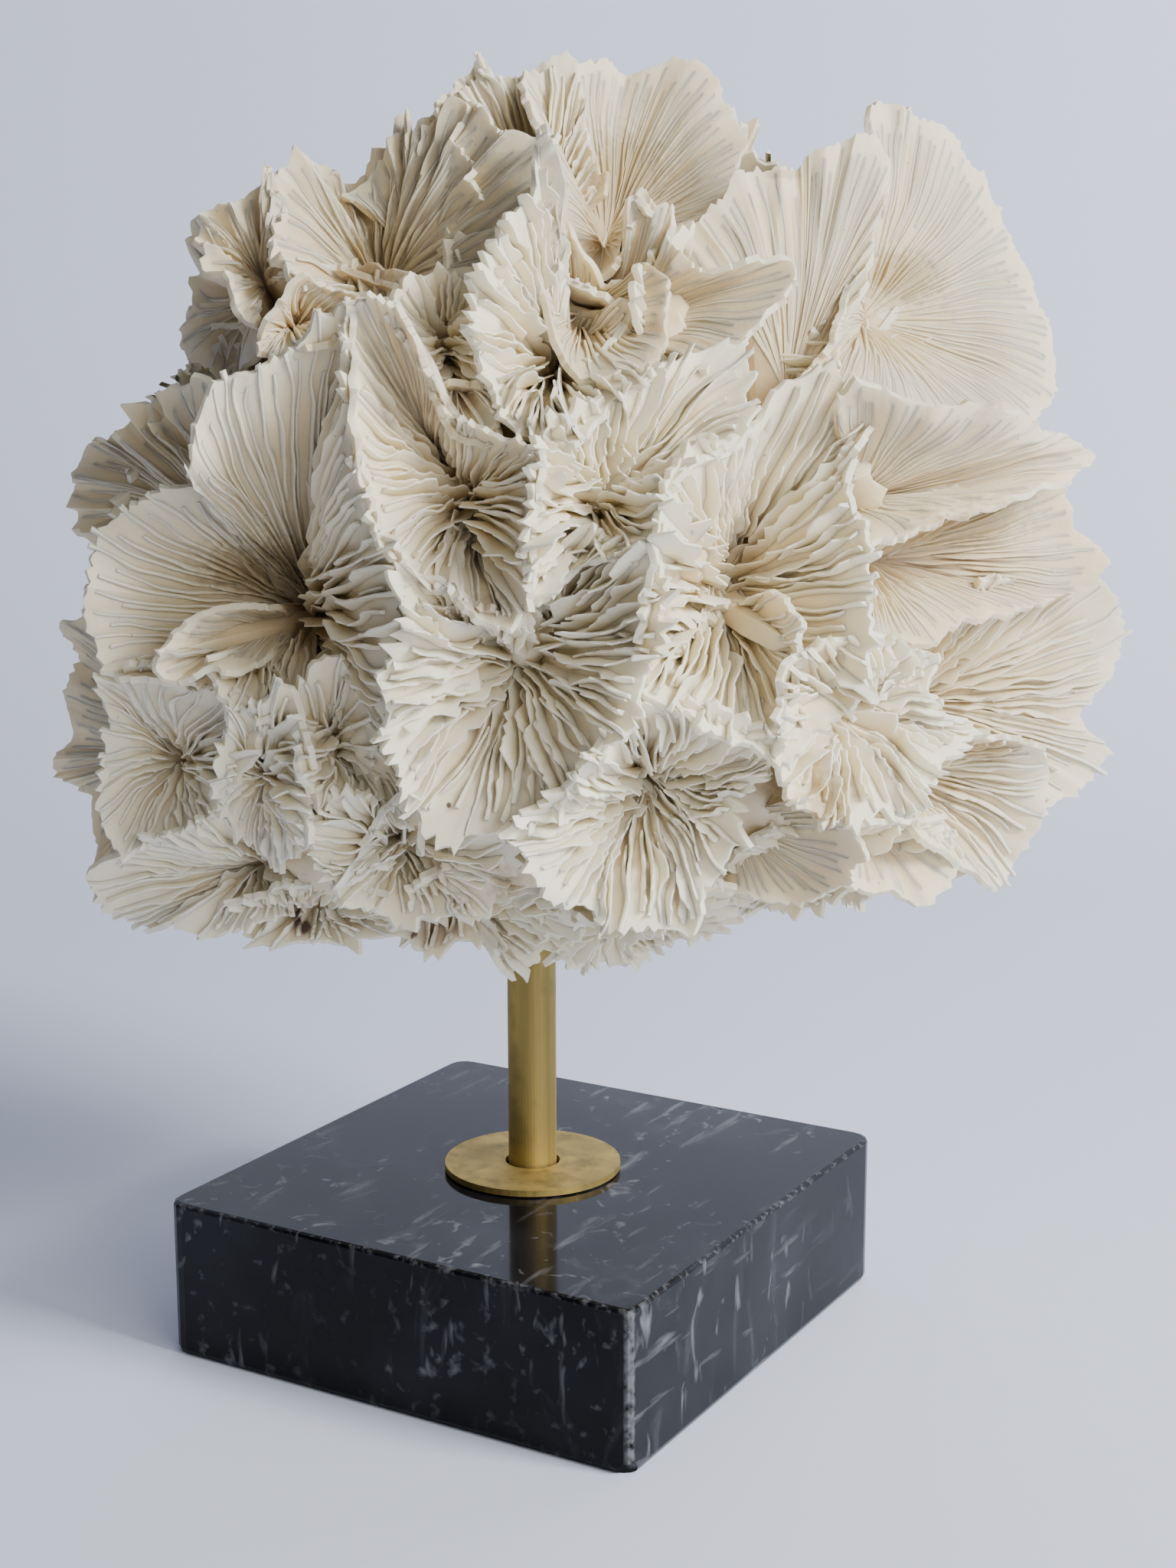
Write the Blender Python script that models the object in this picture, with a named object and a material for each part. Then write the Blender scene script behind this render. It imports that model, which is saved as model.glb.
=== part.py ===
"""A mushroom coral on a brass rod, standing in a square block of black marble.

Metres, +Z up. The origin is the middle of the marble's underside, and the block's sides run along X and Y.
The coral is one grown piece: thin folded cups that meet at their walls, on a lumpy core.
"""

import math
import random

import bmesh
import bpy
import numpy as np
from mathutils import Matrix, Vector

MM = 0.001

# Driving dimensions, in millimetres
BASE_SIDE = 100.0
BASE_HEIGHT = 30.0
BASE_CORNER_RADIUS = 4.0
BASE_NEAR_CORNER_RADIUS = 1.5
BASE_TOP_BEVEL = 0.8
BASE_FOOT_BEVEL = 1.2
ROD_RADIUS = 4.65
ROD_TOP = 110.0
ROD_SOCKET_DEPTH = 18.0
WASHER_RADIUS = 17.0
WASHER_THICKNESS = 1.2
WASHER_HOLE_RADIUS = 5.3
GAP = 0.3

# The chip at the foot of the nearest corner: its half sizes across, forward and up
CHIP_HALF_SIZES = (3.6, 2.6, 2.4)

# The coral's face looks along FRONT, a little to one side of the block's nearest corner.
FRONT_AZIMUTH = math.radians(30.34)
ACROSS = np.array([math.cos(FRONT_AZIMUTH), math.sin(FRONT_AZIMUTH), 0.0])
FRONT = np.array([math.sin(FRONT_AZIMUTH), -math.cos(FRONT_AZIMUTH), 0.0])
UP = np.array([0.0, 0.0, 1.0])

# The face is laid out as it looks from one standpoint in front of the rod: how far across, forward and up.
STANDPOINT_ACROSS = 10.8
STANDPOINT_FORWARD = 435.4
STANDPOINT_UP = 192.4

CORAL_CENTRE = ACROSS * 6.0 + FRONT * 0.0 + UP * 150.0
CORAL_HALF_SIZE = (92.0, 76.0, 82.0)
UNDERSIDE_HEIGHT = 80.0
CORE_SHARE = 0.6
CORE_ROUGHNESS = 0.04
BROAD_LUMP = 50
LUMP_ROUGHNESS = 0.11

# The solid's grain: how far apart its ridges are, and how far each stands out
RIDGE_SPACING = 6.4
HIDDEN_RIDGE_SPACING = 11.0
RIDGE_HEIGHT = 0.9
RIM_THICKNESS = 1.9
MOUTH_THICKNESS = 11.0
FACE_SHEET_SHARES = (0.35, 0.72, 1.0)
HIDDEN_SHEET_SHARES = (0.5, 1.0)
HAIR = 0.08

# The share of the joined coral's triangles that stay once the slivers along its seams are taken out
KEPT_TRIANGLES = 0.38

# Each cup of the face: its name, whether its rim closes into a ring, how far its sheet bows out,
# its mouth, and its rim. Places are across, up and forward of the rod, in millimetres.
CUPS = [
    ("left_bowl", True, 0.05, (-38, 138, 34),
     [(-60, 167, 60), (-53, 184, 60), (-43, 188, 60), (-34, 191, 60), (-34, 182, 66), (-34, 171, 72),
      (-30, 158, 78), (-24, 147, 80), (-24, 135, 81), (-26, 128, 80), (-26, 120, 78), (-24, 110, 76),
      (-21, 101, 75), (-27, 99, 70), (-34, 104, 66), (-42, 111, 66), (-50, 119, 66), (-57, 121, 64),
      (-62, 125, 62), (-70, 127, 60), (-75, 127, 56), (-79, 132, 53), (-81, 138, 52), (-80, 142, 51),
      (-77, 154, 50), (-69, 158, 52), (-60, 161, 54), (-50, 149, 46)]),
    ("left_tongue", False, 0.05, (-41, 137, 38),
     [(-46, 139, 52), (-53, 139, 57), (-60, 138.5, 61), (-66, 135.5, 64), (-69, 131, 66), (-71, 128, 65),
      (-67, 126, 64), (-61, 129, 66), (-54, 129, 64), (-48, 132, 56)]),
    ("tongue_petal", False, 0.05, (-42, 134, 40),
     [(-56, 131, 62), (-61, 129, 65), (-58, 123, 66), (-52, 120, 67), (-48, 122, 66), (-46, 127, 58)]),
    ("lower_left_bowl", True, 0.05, (-63, 110, 40),
     [(-79, 125, 54), (-79, 118, 53), (-80, 110, 51), (-80, 103, 50), (-77, 97, 50), (-74, 94, 52),
      (-66, 95, 56), (-60, 98, 60), (-56, 104, 63), (-54, 111, 65), (-52, 118, 66), (-56, 121, 64),
      (-62, 124, 62), (-70, 127, 58)]),
    ("crumbled_ridge_left", False, 0.03, (-54, 104, 46),
     [(-56, 120, 62), (-51, 121, 68), (-47, 116, 71), (-45, 110, 71), (-43, 104, 70), (-43, 97, 68),
      (-46, 91, 64), (-52, 88, 58)]),
    ("crumbled_ridge_right", False, 0.03, (-36, 108, 50),
     [(-50, 121, 68), (-46, 119, 71), (-44, 112, 73), (-42, 105, 72), (-41, 98, 71), (-38, 94, 69),
      (-33, 98, 68), (-28, 101, 68)]),
    ("foot_fan_near_ridge", False, 0.04, (-43, 95, 54),
     [(-39, 107, 71), (-33, 105, 73), (-27, 101, 73), (-23, 97, 72), (-26, 92, 71), (-30, 89, 70),
      (-34, 86, 68), (-38, 86, 66), (-42, 89, 63)]),
    ("foot_drape", True, 0.04, (-25, 97, 54),
     [(-34, 87, 66), (-30, 83, 62), (-24, 80, 60), (-18, 79, 62), (-12, 79, 64), (-7, 79, 66),
      (-6, 86, 70), (-5, 94, 74), (-10, 98, 75), (-17, 100, 75), (-22, 102, 74), (-28, 98, 70)]),
    ("foot_cup_left", True, 0.05, (-48, 92, 44),
     [(-50, 101, 58), (-58, 99, 58), (-66, 95, 56), (-76, 93, 50), (-82, 89, 45), (-81, 84, 43),
      (-78, 80, 42), (-72, 79, 42), (-66, 81, 46), (-60, 79, 46), (-54, 81, 48), (-48, 82, 50),
      (-43, 86, 56), (-42, 92, 60), (-44, 98, 62)]),
    ("foot_under_left", True, 0.04, (-40, 86, 36),
     [(-58, 81, 42), (-50, 78, 42), (-44, 77, 42), (-38, 74.5, 42), (-32, 76.5, 44), (-26, 77, 46),
      (-24, 82, 54), (-30, 86, 62), (-38, 87, 60), (-48, 86, 54)]),
    ("foot_under_middle", True, 0.04, (-13, 86, 40),
     [(-25, 78, 48), (-20, 74.5, 46), (-14, 76, 46), (-8, 77, 48), (-6, 72, 44), (0, 71, 44), (5, 75, 48),
      (6, 84, 60), (-2, 90, 66), (-12, 90, 66), (-20, 86, 60)]),
    ("left_middle_fan", False, 0.03, (-50, 152, 22),
     [(-54, 179, 46), (-57, 180, 40), (-62, 178.5, 36), (-67, 178, 30), (-71, 175, 25), (-73, 172, 22),
      (-76, 168.5, 18), (-80, 171, 10), (-83, 166, 5), (-84, 160, 3), (-83, 154, 2), (-80, 149, 2),
      (-77, 145, 6), (-76, 141, 10)]),
    ("far_left_fan", False, 0.03, (-52, 116, -4),
     [(-80, 142, 2), (-84, 139, -2), (-88, 136, -4), (-87, 133, -6), (-84, 128, -8), (-86, 124, -8),
      (-86, 119, -8), (-85, 115, -8), (-89, 110, -8), (-89, 107, -8), (-83, 103, -6), (-83, 99, -5),
      (-82, 93, -4), (-83, 88, -2), (-79, 82, 2), (-70, 79, 12)]),
    ("crest_bowl", True, 0.04, (-9, 158, 52),
     [(-33, 191, 62), (-34, 182, 67), (-34, 171, 73), (-30, 158, 78), (-24, 147, 81), (-19, 143, 80),
      (-14, 146, 78), (-12, 142, 79), (-6, 138, 81), (-2, 137, 83), (-2, 148, 86), (-1, 158, 85),
      (0, 166, 83), (-4, 170, 77), (-10, 172, 72), (-16, 176, 68), (-18, 181, 66), (-21, 187, 65),
      (-27, 193, 62)]),
    ("crest_fold", False, 0.04, (-16, 166, 54),
     [(-16, 179, 70), (-19, 184, 70), (-21, 189, 68), (-26, 194, 64), (-31, 192, 62), (-31, 184, 62)]),
    ("small_cup", True, 0.03, (-15, 185, 46),
     [(-26, 194, 60), (-23, 197, 54), (-19, 200.5, 50), (-15, 200, 50), (-12, 199, 52), (-6, 202, 57),
      (-10, 191, 65), (-9, 182, 68), (-7, 174, 72), (-13, 172, 70), (-17, 178, 68), (-20, 186, 67)]),
    ("tan_hollow", True, 0.03, (-12, 176, 50),
     [(-17, 181, 66), (-11, 181, 67), (-8, 176, 69), (-8, 171, 71), (-13, 172, 70), (-17, 175, 68)]),
    ("centre_bowl", True, 0.05, (-1, 131, 60),
     [(-24, 146, 82), (-24, 136, 84), (-26, 128, 83), (-26, 120, 81), (-24, 110, 79), (-21, 101, 77),
      (-14, 98, 77), (-6, 96, 79), (0, 98, 81), (8, 105, 83), (12, 110, 84), (17, 118, 83), (20, 126, 84),
      (22, 136, 84), (23, 146, 83), (22, 154, 82), (12, 153, 77), (5, 147, 77), (0, 137, 80),
      (-8, 139, 80), (-15, 143, 80)]),
    ("fishbone_cup", True, 0.04, (12, 157, 60),
     [(0, 166, 84), (-1, 158, 87), (-2, 148, 87), (2, 139, 84), (10, 148, 78), (22, 153, 82),
      (26, 160, 83), (29, 166, 77), (40, 170, 67), (38, 184, 62), (28, 184, 64), (18, 181, 68),
      (10, 176, 72), (2, 172, 77)]),
    ("lower_bowl", True, 0.06, (21, 109, 56),
     [(16, 119, 82), (12, 111, 84), (5, 103, 84), (-1, 97, 82), (1, 91, 80), (4, 85, 76), (12, 79, 70),
      (20, 80, 68), (30, 78, 66), (32, 86, 68), (37, 93, 68), (40, 101, 69), (47, 107, 73), (48, 112, 77),
      (40, 116, 80), (30, 120, 82), (21, 121, 82)]),
    ("foot_under_right", True, 0.04, (16, 84, 34),
     [(3, 84, 58), (3, 77, 48), (9, 72, 38), (16, 71, 32), (26, 73, 30), (35, 77, 32), (39, 82, 44),
      (34, 86, 56), (28, 79, 62), (15, 78, 62)]),
    ("foot_under_far_right", True, 0.04, (50, 94, 26),
     [(36, 80, 34), (44, 82, 34), (51, 82, 34), (58, 86, 36), (66, 87, 36), (74, 85, 32), (82, 90, 30),
      (76, 96, 38), (62, 98, 50), (48, 98, 54), (38, 90, 48)]),
    ("right_bowl", True, 0.04, (33, 142, 46),
     [(26, 160, 80), (30, 166, 75), (40, 170, 66), (45, 178, 60), (55, 180, 57), (65, 175, 55),
      (61, 168, 60), (60, 161, 65), (62, 154, 67), (65, 147, 68), (63, 138, 70), (62, 130, 71),
      (60, 122, 72), (53, 117, 75), (48, 112, 78), (40, 116, 80), (30, 120, 82), (21, 121, 83),
      (20, 128, 84), (22, 138, 84), (23, 148, 84), (25, 156, 83)]),
    ("right_petal", False, 0.05, (34, 141, 48),
     [(45, 142, 66), (50, 136, 74), (51, 127, 77), (48, 118, 80), (42, 114, 82)]),
    ("right_low_cup", True, 0.04, (53, 121, 54),
     [(50, 128, 77), (49, 117, 80), (48, 108, 76), (52, 102, 72), (58, 99, 68), (65, 101, 64),
      (71, 101, 60), (77, 108, 56), (80, 112, 52), (84, 116, 46), (77, 118, 52), (75, 123, 54),
      (77, 130, 50), (70, 131, 56), (63, 132, 68)]),
    ("right_roof_fan", False, 0.05, (58, 152, 38),
     [(57, 174, 60), (64, 177, 58), (70, 175, 56), (76, 177, 50), (83, 177, 44), (90, 175.5, 36),
      (97, 173, 26), (101, 171, 18), (104, 168, 14), (102, 165, 14), (99, 161, 18), (92, 161, 28),
      (84, 162, 38), (76, 160, 46), (68, 155, 54)]),
    ("right_middle_fan", False, 0.03, (60, 148, 26),
     [(68, 156, 42), (76, 160, 36), (86, 162, 28), (97, 162, 16), (102, 154, 10), (106, 147, 6),
      (103, 141, 6), (92, 139, 16), (80, 136, 32), (70, 132, 46), (64, 131, 58)]),
    ("right_outer_fan", False, 0.03, (66, 122, 4),
     [(84, 144, 22), (95, 143, 8), (105, 142, 0), (109, 133, -4), (109, 126, -6), (105, 121, -6),
      (104, 116, -6), (108, 112, -6), (103, 106, -4), (97, 100, 0), (88, 96, 8)]),
    ("foot_plate_right", False, 0.03, (36, 100, 42),
     [(50, 104, 66), (59, 99, 60), (61, 92, 57), (59, 85, 54), (50, 85, 52), (40, 86, 50), (34, 84, 48)]),
    ("foot_plate_far_right", False, 0.03, (58, 104, 34),
     [(81, 96, 36), (79, 88, 38), (74, 83, 40), (68, 86, 42), (62, 87, 46), (58, 90, 50)]),
    ("foot_fan_right", False, 0.03, (64, 110, 26),
     [(82, 115, 42), (95, 111, 32), (98, 106, 28), (95, 100, 27), (91, 91, 28), (88, 86, 32), (80, 91, 38),
      (72, 96, 44)]),
    ("upper_centre_fan", False, 0.03, (5, 181, 50),
     [(6, 196, 50), (5, 212, 46), (2, 224, 44), (0, 214, 50), (-5, 208, 55), (-7, 200, 60), (-11, 190, 66),
      (-8, 181, 70), (-6, 174, 74), (1, 170, 77), (8, 171, 76), (16, 178, 70), (24, 183, 66)]),
    ("upper_hollow", True, 0.03, (9, 191, 36),
     [(5, 212, 44), (8, 205, 42), (12, 200, 40), (15, 198, 40), (20, 201, 44), (26, 199, 50),
      (25, 190, 56), (24, 185, 62), (14, 182, 64), (8, 183, 62), (4, 192, 56), (1, 204, 50)]),
    ("upper_shelf", False, 0.04, (14, 188, 36),
     [(19, 214, 40), (22, 216, 39), (24, 211, 42), (27, 211, 42), (26, 205, 45), (29, 202, 48),
      (35, 200, 50), (42, 201, 48), (50, 200, 46), (46, 195, 51), (42, 190, 56), (38, 186, 61),
      (33, 183, 65)]),
    ("top_bowl", True, 0.03, (14, 204, 14),
     [(3, 222, 38), (0, 232, 16), (4, 236, 10), (10, 236, 6), (14, 237, 4), (18, 234, 2), (22, 234, 0),
      (27, 236, -2), (32, 234, 0), (36, 227, 4), (38, 221, 10), (36, 213, 22), (28, 207, 34),
      (24, 211, 42), (20, 214, 40), (17, 204, 38), (12, 200, 38), (5, 211, 40)]),
    ("top_back_fan", False, 0.03, (4, 212, 10),
     [(-17, 229, 22), (-15, 232, 18), (-11, 235, 14), (-8, 238, 12), (-6, 233, 12), (-2, 233, 12),
      (2, 233, 10)]),
    ("upper_left_bowl", True, 0.03, (-26, 195, 26),
     [(-44, 198, 42), (-50, 199, 34), (-55, 206, 28), (-58, 213, 22), (-47, 217, 16), (-44, 217, 15),
      (-38, 223, 12), (-32, 216, 12), (-26, 219, 12), (-22, 229, 10), (-17, 228, 16), (-14, 231, 20),
      (-8, 227, 27), (0, 224, 34), (2, 223, 36), (0, 213, 44), (-5, 208, 48), (-6, 201, 54),
      (-14, 202, 48), (-20, 199, 45), (-30, 197, 43), (-37, 197, 43)]),
    ("left_hollow", True, 0.03, (-41, 189, 34),
     [(-44, 198, 44), (-37, 197, 45), (-30, 197, 46), (-33, 191, 58), (-38, 188, 60), (-46, 187, 56),
      (-49, 187, 50), (-46, 192, 46)]),
    ("left_shoulder_fan", False, 0.02, (-44, 192, 14),
     [(-57, 207, 22), (-61, 199, 16), (-65, 191, 12), (-65, 186, 12), (-60, 182, 18), (-54, 179, 26),
      (-48, 184, 34)]),
    ("great_wall", False, 0.03, (47, 178, 44),
     [(27, 205, 38), (30, 209, 35), (34, 213, 31), (38, 218, 27), (40, 216, 25), (46, 217, 23),
      (50, 216, 21), (52, 220, 19), (57, 222, 16), (60, 224, 14), (63, 224, 13), (65, 219, 15),
      (64, 212, 20), (62, 204, 26), (60, 195, 35), (59, 185, 44)]),
    ("great_bowl", True, 0.04, (60, 191, 14),
     [(63, 210, 20), (62, 220, 14), (62, 227, 10), (66, 229, 7), (70, 226, 4), (76, 224, 1), (80, 220, -2),
      (83, 216, -4), (86, 208, -4), (88, 203, -4), (91, 199, -3), (93, 193, -1), (96, 184, 2),
      (95, 176, 6), (88, 173, 18), (80, 172, 34), (70, 174, 46), (60, 176, 53), (50, 179, 51),
      (56, 185, 48), (59, 194, 36), (61, 203, 26)]),
    ("top_back_plate", False, 0.02, (34, 208, 4),
     [(35, 226, -4), (37, 222, -4), (39, 224, -5), (42, 225, -6), (41, 219, -6), (39, 216, -4),
      (38, 210, 2)]),
    ("crown_fan", False, 0.02, (4, 206, 20),
     [(-17, 228, 20), (-13, 232, 17), (-10, 233, 15), (-8, 238, 13), (-6, 233, 13), (-2, 233, 12),
      (2, 236, 11), (6, 238, 10), (9, 237, 10), (10, 231, 12), (11, 223, 16), (14, 214, 22)]),
]

# The cups of the sides, the back and the top, which fill out the ball behind the face. Each is where its mouth
# points: degrees round from FRONT, to the right, degrees above the level, and its share of the ball's reach.
FAR_CUPS = [
    (110, 32, 1.0), (106, -4, 0.95), (84, -32, 1.0), (118, 14, 1.0), (126, -22, 1.0), (140, 36, 1.0),
    (150, 4, 1.0), (152, -30, 1.0), (176, 22, 1.0), (180, -12, 1.0), (206, 38, 1.0), (206, 4, 1.0),
    (212, -28, 1.0), (236, 20, 0.97), (240, -12, 0.98), (254, 40, 0.85), (262, 8, 0.88), (256, -36, 0.95),
    (110, 62, 1.0), (186, 64, 1.0), (250, 70, 0.92), (274, -14, 0.88),
]
FAR_CUP_REACH = 36.0
FAR_CUP_LEAST_REACH = 13.0
FAR_CUP_DEPTH = 0.62
FAR_CUP_BOW = 0.06
FAR_RIM_POINTS = 11
FACE_CUP_HOLD_OFF = 22.0


# The broken knobs of the underside: across, where the lowest point looks to be and how far forward, then the
# half sizes across, forward and up. The first is the broad floor that the others hang from.
FOOT_LUMPS = [
    (2, 84, 2, 66, 52, 16), (3, 76, 2, 18, 15, 11), (-33, 80, 26, 12, 12, 9), (-50, 84, 16, 13, 13, 9),
    (24, 78, 24, 12, 12, 9), (46, 86, 16, 14, 14, 9), (-36, 84, -8, 13, 13, 10),
    (-10, 84, -32, 14, 14, 10), (20, 84, -30, 12, 12, 10), (46, 88, -12, 14, 14, 10),
    (-12, 78, 22, 10, 10, 8),
]


def unit(vectors):
    """The same vectors, each one long."""
    return vectors / np.maximum(np.linalg.norm(vectors, axis=-1, keepdims=True), 1e-9)


def laid_out(place):
    """The real place of a point of the face, from its across and up as they look at the rod and its forward."""
    across, up, forward = place
    share = (STANDPOINT_FORWARD - forward) / STANDPOINT_FORWARD
    real_across = STANDPOINT_ACROSS + (across - STANDPOINT_ACROSS) * share
    real_up = STANDPOINT_UP + (up - STANDPOINT_UP) * share
    return ACROSS * real_across + FRONT * forward + UP * real_up


def from_centre(direction, share=1.0):
    """The point of the ball's envelope in a direction, or a share of the way out to it."""
    local = np.array([direction @ ACROSS, direction @ FRONT, direction @ UP])
    reach = 1.0 / np.linalg.norm(local / CORAL_HALF_SIZE)
    point = CORAL_CENTRE + direction * reach * share
    point[2] = max(point[2], UNDERSIDE_HEIGHT)
    return point


def heading(round_degrees, up_degrees):
    """The direction so many degrees round from FRONT and above the level."""
    turn, rise = math.radians(round_degrees), math.radians(up_degrees)
    return math.cos(rise) * (math.cos(turn) * FRONT + math.sin(turn) * ACROSS) + math.sin(rise) * UP


def far_cups():
    """Mouth and rim of each far cup: its walls stand half way to its neighbours, as they do between polyps."""
    chance = random.Random(7)
    tips = [from_centre(heading(turn, rise), share) for turn, rise, share in FAR_CUPS]
    near_mouths = [laid_out(mouth) for _, _, _, mouth, _ in CUPS]
    near_tips = [mouth + unit(mouth - CORAL_CENTRE) * FACE_CUP_HOLD_OFF for mouth in near_mouths]
    found = []
    for index, (round_degrees, up_degrees, share) in enumerate(FAR_CUPS):
        outward = heading(round_degrees, up_degrees)
        side = unit(np.cross(UP, outward))
        rise = np.cross(outward, side)
        others = [other - tips[index] for place, other in enumerate(tips + near_tips) if place != index]
        rim = []
        for step in range(FAR_RIM_POINTS):
            turn = 2 * math.pi * (step + chance.uniform(-0.25, 0.25)) / FAR_RIM_POINTS
            way = side * math.cos(turn) + rise * math.sin(turn)
            limits = [1.04 * (other @ other) / (2 * (other @ way)) for other in others if other @ way > 1.0]
            reach = max(min([FAR_CUP_REACH * chance.uniform(0.9, 1.1)] + limits), FAR_CUP_LEAST_REACH)
            edge_direction = unit(tips[index] + way * reach - CORAL_CENTRE)
            rim.append(from_centre(edge_direction, share * chance.uniform(0.9, 1.03)))
        found.append((from_centre(outward, share * FAR_CUP_DEPTH), np.array(rim)))
    return found


def even_rim(rim, closed, count):
    """The rim as so many points, evenly spaced along a smooth curve through its own points."""
    total = len(rim)
    curve = []
    for start in range(total if closed else total - 1):
        around = [start - 1, start, start + 1, start + 2]
        if closed:
            before, here, there, after = [rim[place % total] for place in around]
        else:
            before, here, there, after = [rim[min(max(place, 0), total - 1)] for place in around]
        for u in np.linspace(0, 1, 12, endpoint=False):
            leave, arrive = (there - before) * 0.35, (after - here) * 0.35
            curve.append((2 * u**3 - 3 * u**2 + 1) * here + (u**3 - 2 * u**2 + u) * leave
                         + (3 * u**2 - 2 * u**3) * there + (u**3 - u**2) * arrive)
    curve.append(rim[0] if closed else rim[-1])
    curve = np.array(curve)
    along = np.concatenate([[0], np.cumsum(np.linalg.norm(np.diff(curve, axis=0), axis=1))])
    marks = np.linspace(0, along[-1], count + 1)[:count] if closed else np.linspace(0, along[-1], count)
    return np.stack([np.interp(marks, along, curve[:, axis]) for axis in range(3)], 1), along[-1]


def add_cup(mesh, mouth, rim, closed, bow, spacing, shares):
    """One closed solid: a ridged sheet from the mouth out to the rim, thick at the mouth, thin at the rim."""
    length = even_rim(rim, closed, 40)[1]
    count = max(8, 2 * round(length / spacing / 2))
    edge, _ = even_rim(rim, closed, count)
    outward = unit(unit(edge.mean(0) - mouth) + 0.6 * unit(mouth - CORAL_CENTRE))
    spokes = edge - mouth
    lengths = np.linalg.norm(spokes, axis=1, keepdims=True)
    lift = unit(outward - (unit(spokes) @ outward)[:, None] * unit(spokes))
    ridge = np.where(np.arange(count) % 2 == 0, 1.0, -1.0)[:, None]
    fronts, backs = [], []
    for share in shares:
        sheet = mouth + spokes * share + lift * (lengths * bow * 4 * share * (1 - share))
        thick = RIM_THICKNESS + (MOUTH_THICKNESS - RIM_THICKNESS) * (1 - share) ** 2
        side = unit(lift * share + outward * (1 - share))
        middle = sheet + side * ridge * RIDGE_HEIGHT * share
        fronts.append([mesh.verts.new(point) for point in middle + side * RIM_THICKNESS / 2])
        backs.append([mesh.verts.new(point) for point in middle - side * (thick - RIM_THICKNESS / 2)])
    front_pole = mesh.verts.new(mouth + outward * RIM_THICKNESS / 2)
    back_pole = mesh.verts.new(mouth - outward * MOUTH_THICKNESS)
    steps = count if closed else count - 1
    for here in range(steps):
        there = (here + 1) % count
        mesh.faces.new((front_pole, fronts[0][here], fronts[0][there]))
        mesh.faces.new((back_pole, backs[0][there], backs[0][here]))
        for inner, outer in zip(range(len(shares) - 1), range(1, len(shares))):
            for rows, near, far in ((fronts, here, there), (backs, there, here)):
                mesh.faces.new((rows[inner][near], rows[outer][near], rows[outer][far], rows[inner][far]))
        mesh.faces.new((fronts[-1][here], backs[-1][here], backs[-1][there], fronts[-1][there]))
    if not closed:
        for end in (0, -1):
            out_along_front = [row[end] for row in fronts]
            in_along_back = [row[end] for row in reversed(backs)]
            column = [front_pole] + out_along_front + in_along_back + [back_pole]
            mesh.faces.new(column if end else column[::-1])


def unsettle(mesh, seed):
    """Moves each point by a hair, so that no two cups' walls share a point or an edge where they are fused."""
    chance = random.Random(seed)
    for vertex in mesh.verts:
        vertex.co += Vector([chance.uniform(-HAIR, HAIR) for _ in range(3)])


def object_from(mesh, name):
    """A named object made from a bmesh of millimetres, with its faces turned out."""
    bmesh.ops.triangulate(mesh, faces=mesh.faces[:])
    bmesh.ops.recalc_face_normals(mesh, faces=mesh.faces[:])
    bmesh.ops.scale(mesh, vec=(MM, MM, MM), verts=mesh.verts[:])
    data = bpy.data.meshes.new(name)
    mesh.to_mesh(data)
    mesh.free()
    made = bpy.data.objects.new(name, data)
    bpy.context.scene.collection.objects.link(made)
    return made


def lump(name, centre, half_sizes, fineness, roughness, seed):
    """A rough ball, with its half sizes across, forward and up, that stays above the coral's underside."""
    chance = random.Random(seed)
    mesh = bmesh.new()
    bmesh.ops.create_icosphere(mesh, subdivisions=fineness, radius=1.0)
    for vertex in mesh.verts:
        across, forward, up = np.array(vertex.co) * half_sizes * (1 + chance.uniform(-roughness, roughness))
        vertex.co = centre + ACROSS * across + FRONT * forward + UP * up
    return object_from(mesh, name)


def coral_pieces():
    """The closed solids that the coral is fused from."""
    core_size = np.array(CORAL_HALF_SIZE) * CORE_SHARE
    pieces = [lump("core", CORAL_CENTRE, core_size, 3, CORE_ROUGHNESS, 3)]
    for index, (sideways, bottom, forward, wide, deep, high) in enumerate(FOOT_LUMPS):
        centre = laid_out((sideways, bottom, forward)) + UP * high
        fineness = 3 if wide > BROAD_LUMP else 2
        half_sizes = np.array([wide, deep, high])
        pieces.append(lump(f"foot_lump_{index}", centre, half_sizes, fineness, LUMP_ROUGHNESS, 20 + index))
    for name, closed, bow, mouth, rim in CUPS:
        mesh = bmesh.new()
        edge = np.array([laid_out(place) for place in rim])
        add_cup(mesh, laid_out(mouth), edge, closed, bow, RIDGE_SPACING, FACE_SHEET_SHARES)
        unsettle(mesh, len(pieces))
        pieces.append(object_from(mesh, name))
    for index, (mouth, edge) in enumerate(far_cups()):
        mesh = bmesh.new()
        add_cup(mesh, mouth, edge, True, FAR_CUP_BOW, HIDDEN_RIDGE_SPACING, HIDDEN_SHEET_SHARES)
        pieces.append(object_from(mesh, f"far_cup_{index}"))
    return pieces


def settled(made):
    """The object with its modifiers made into its mesh."""
    graph = bpy.context.evaluated_depsgraph_get()
    data = bpy.data.meshes.new_from_object(made.evaluated_get(graph))
    made.modifiers.clear()
    made.data = data
    return made


def fused(pieces, name):
    """One object joined from closed solids, without the sealed pockets that the joining leaves inside."""
    whole = pieces[0]
    for piece in pieces[1:]:
        join = whole.modifiers.new(piece.name, "BOOLEAN")
        join.operation = "UNION"
        join.solver = "MANIFOLD"
        join.object = piece
    settled(whole)
    for piece in pieces[1:]:
        bpy.data.objects.remove(piece)
    whole.name = name
    keep_outer_body(whole.data)
    thinner = whole.modifiers.new("slivers_out", "DECIMATE")
    thinner.ratio = KEPT_TRIANGLES
    return settled(whole)


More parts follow.
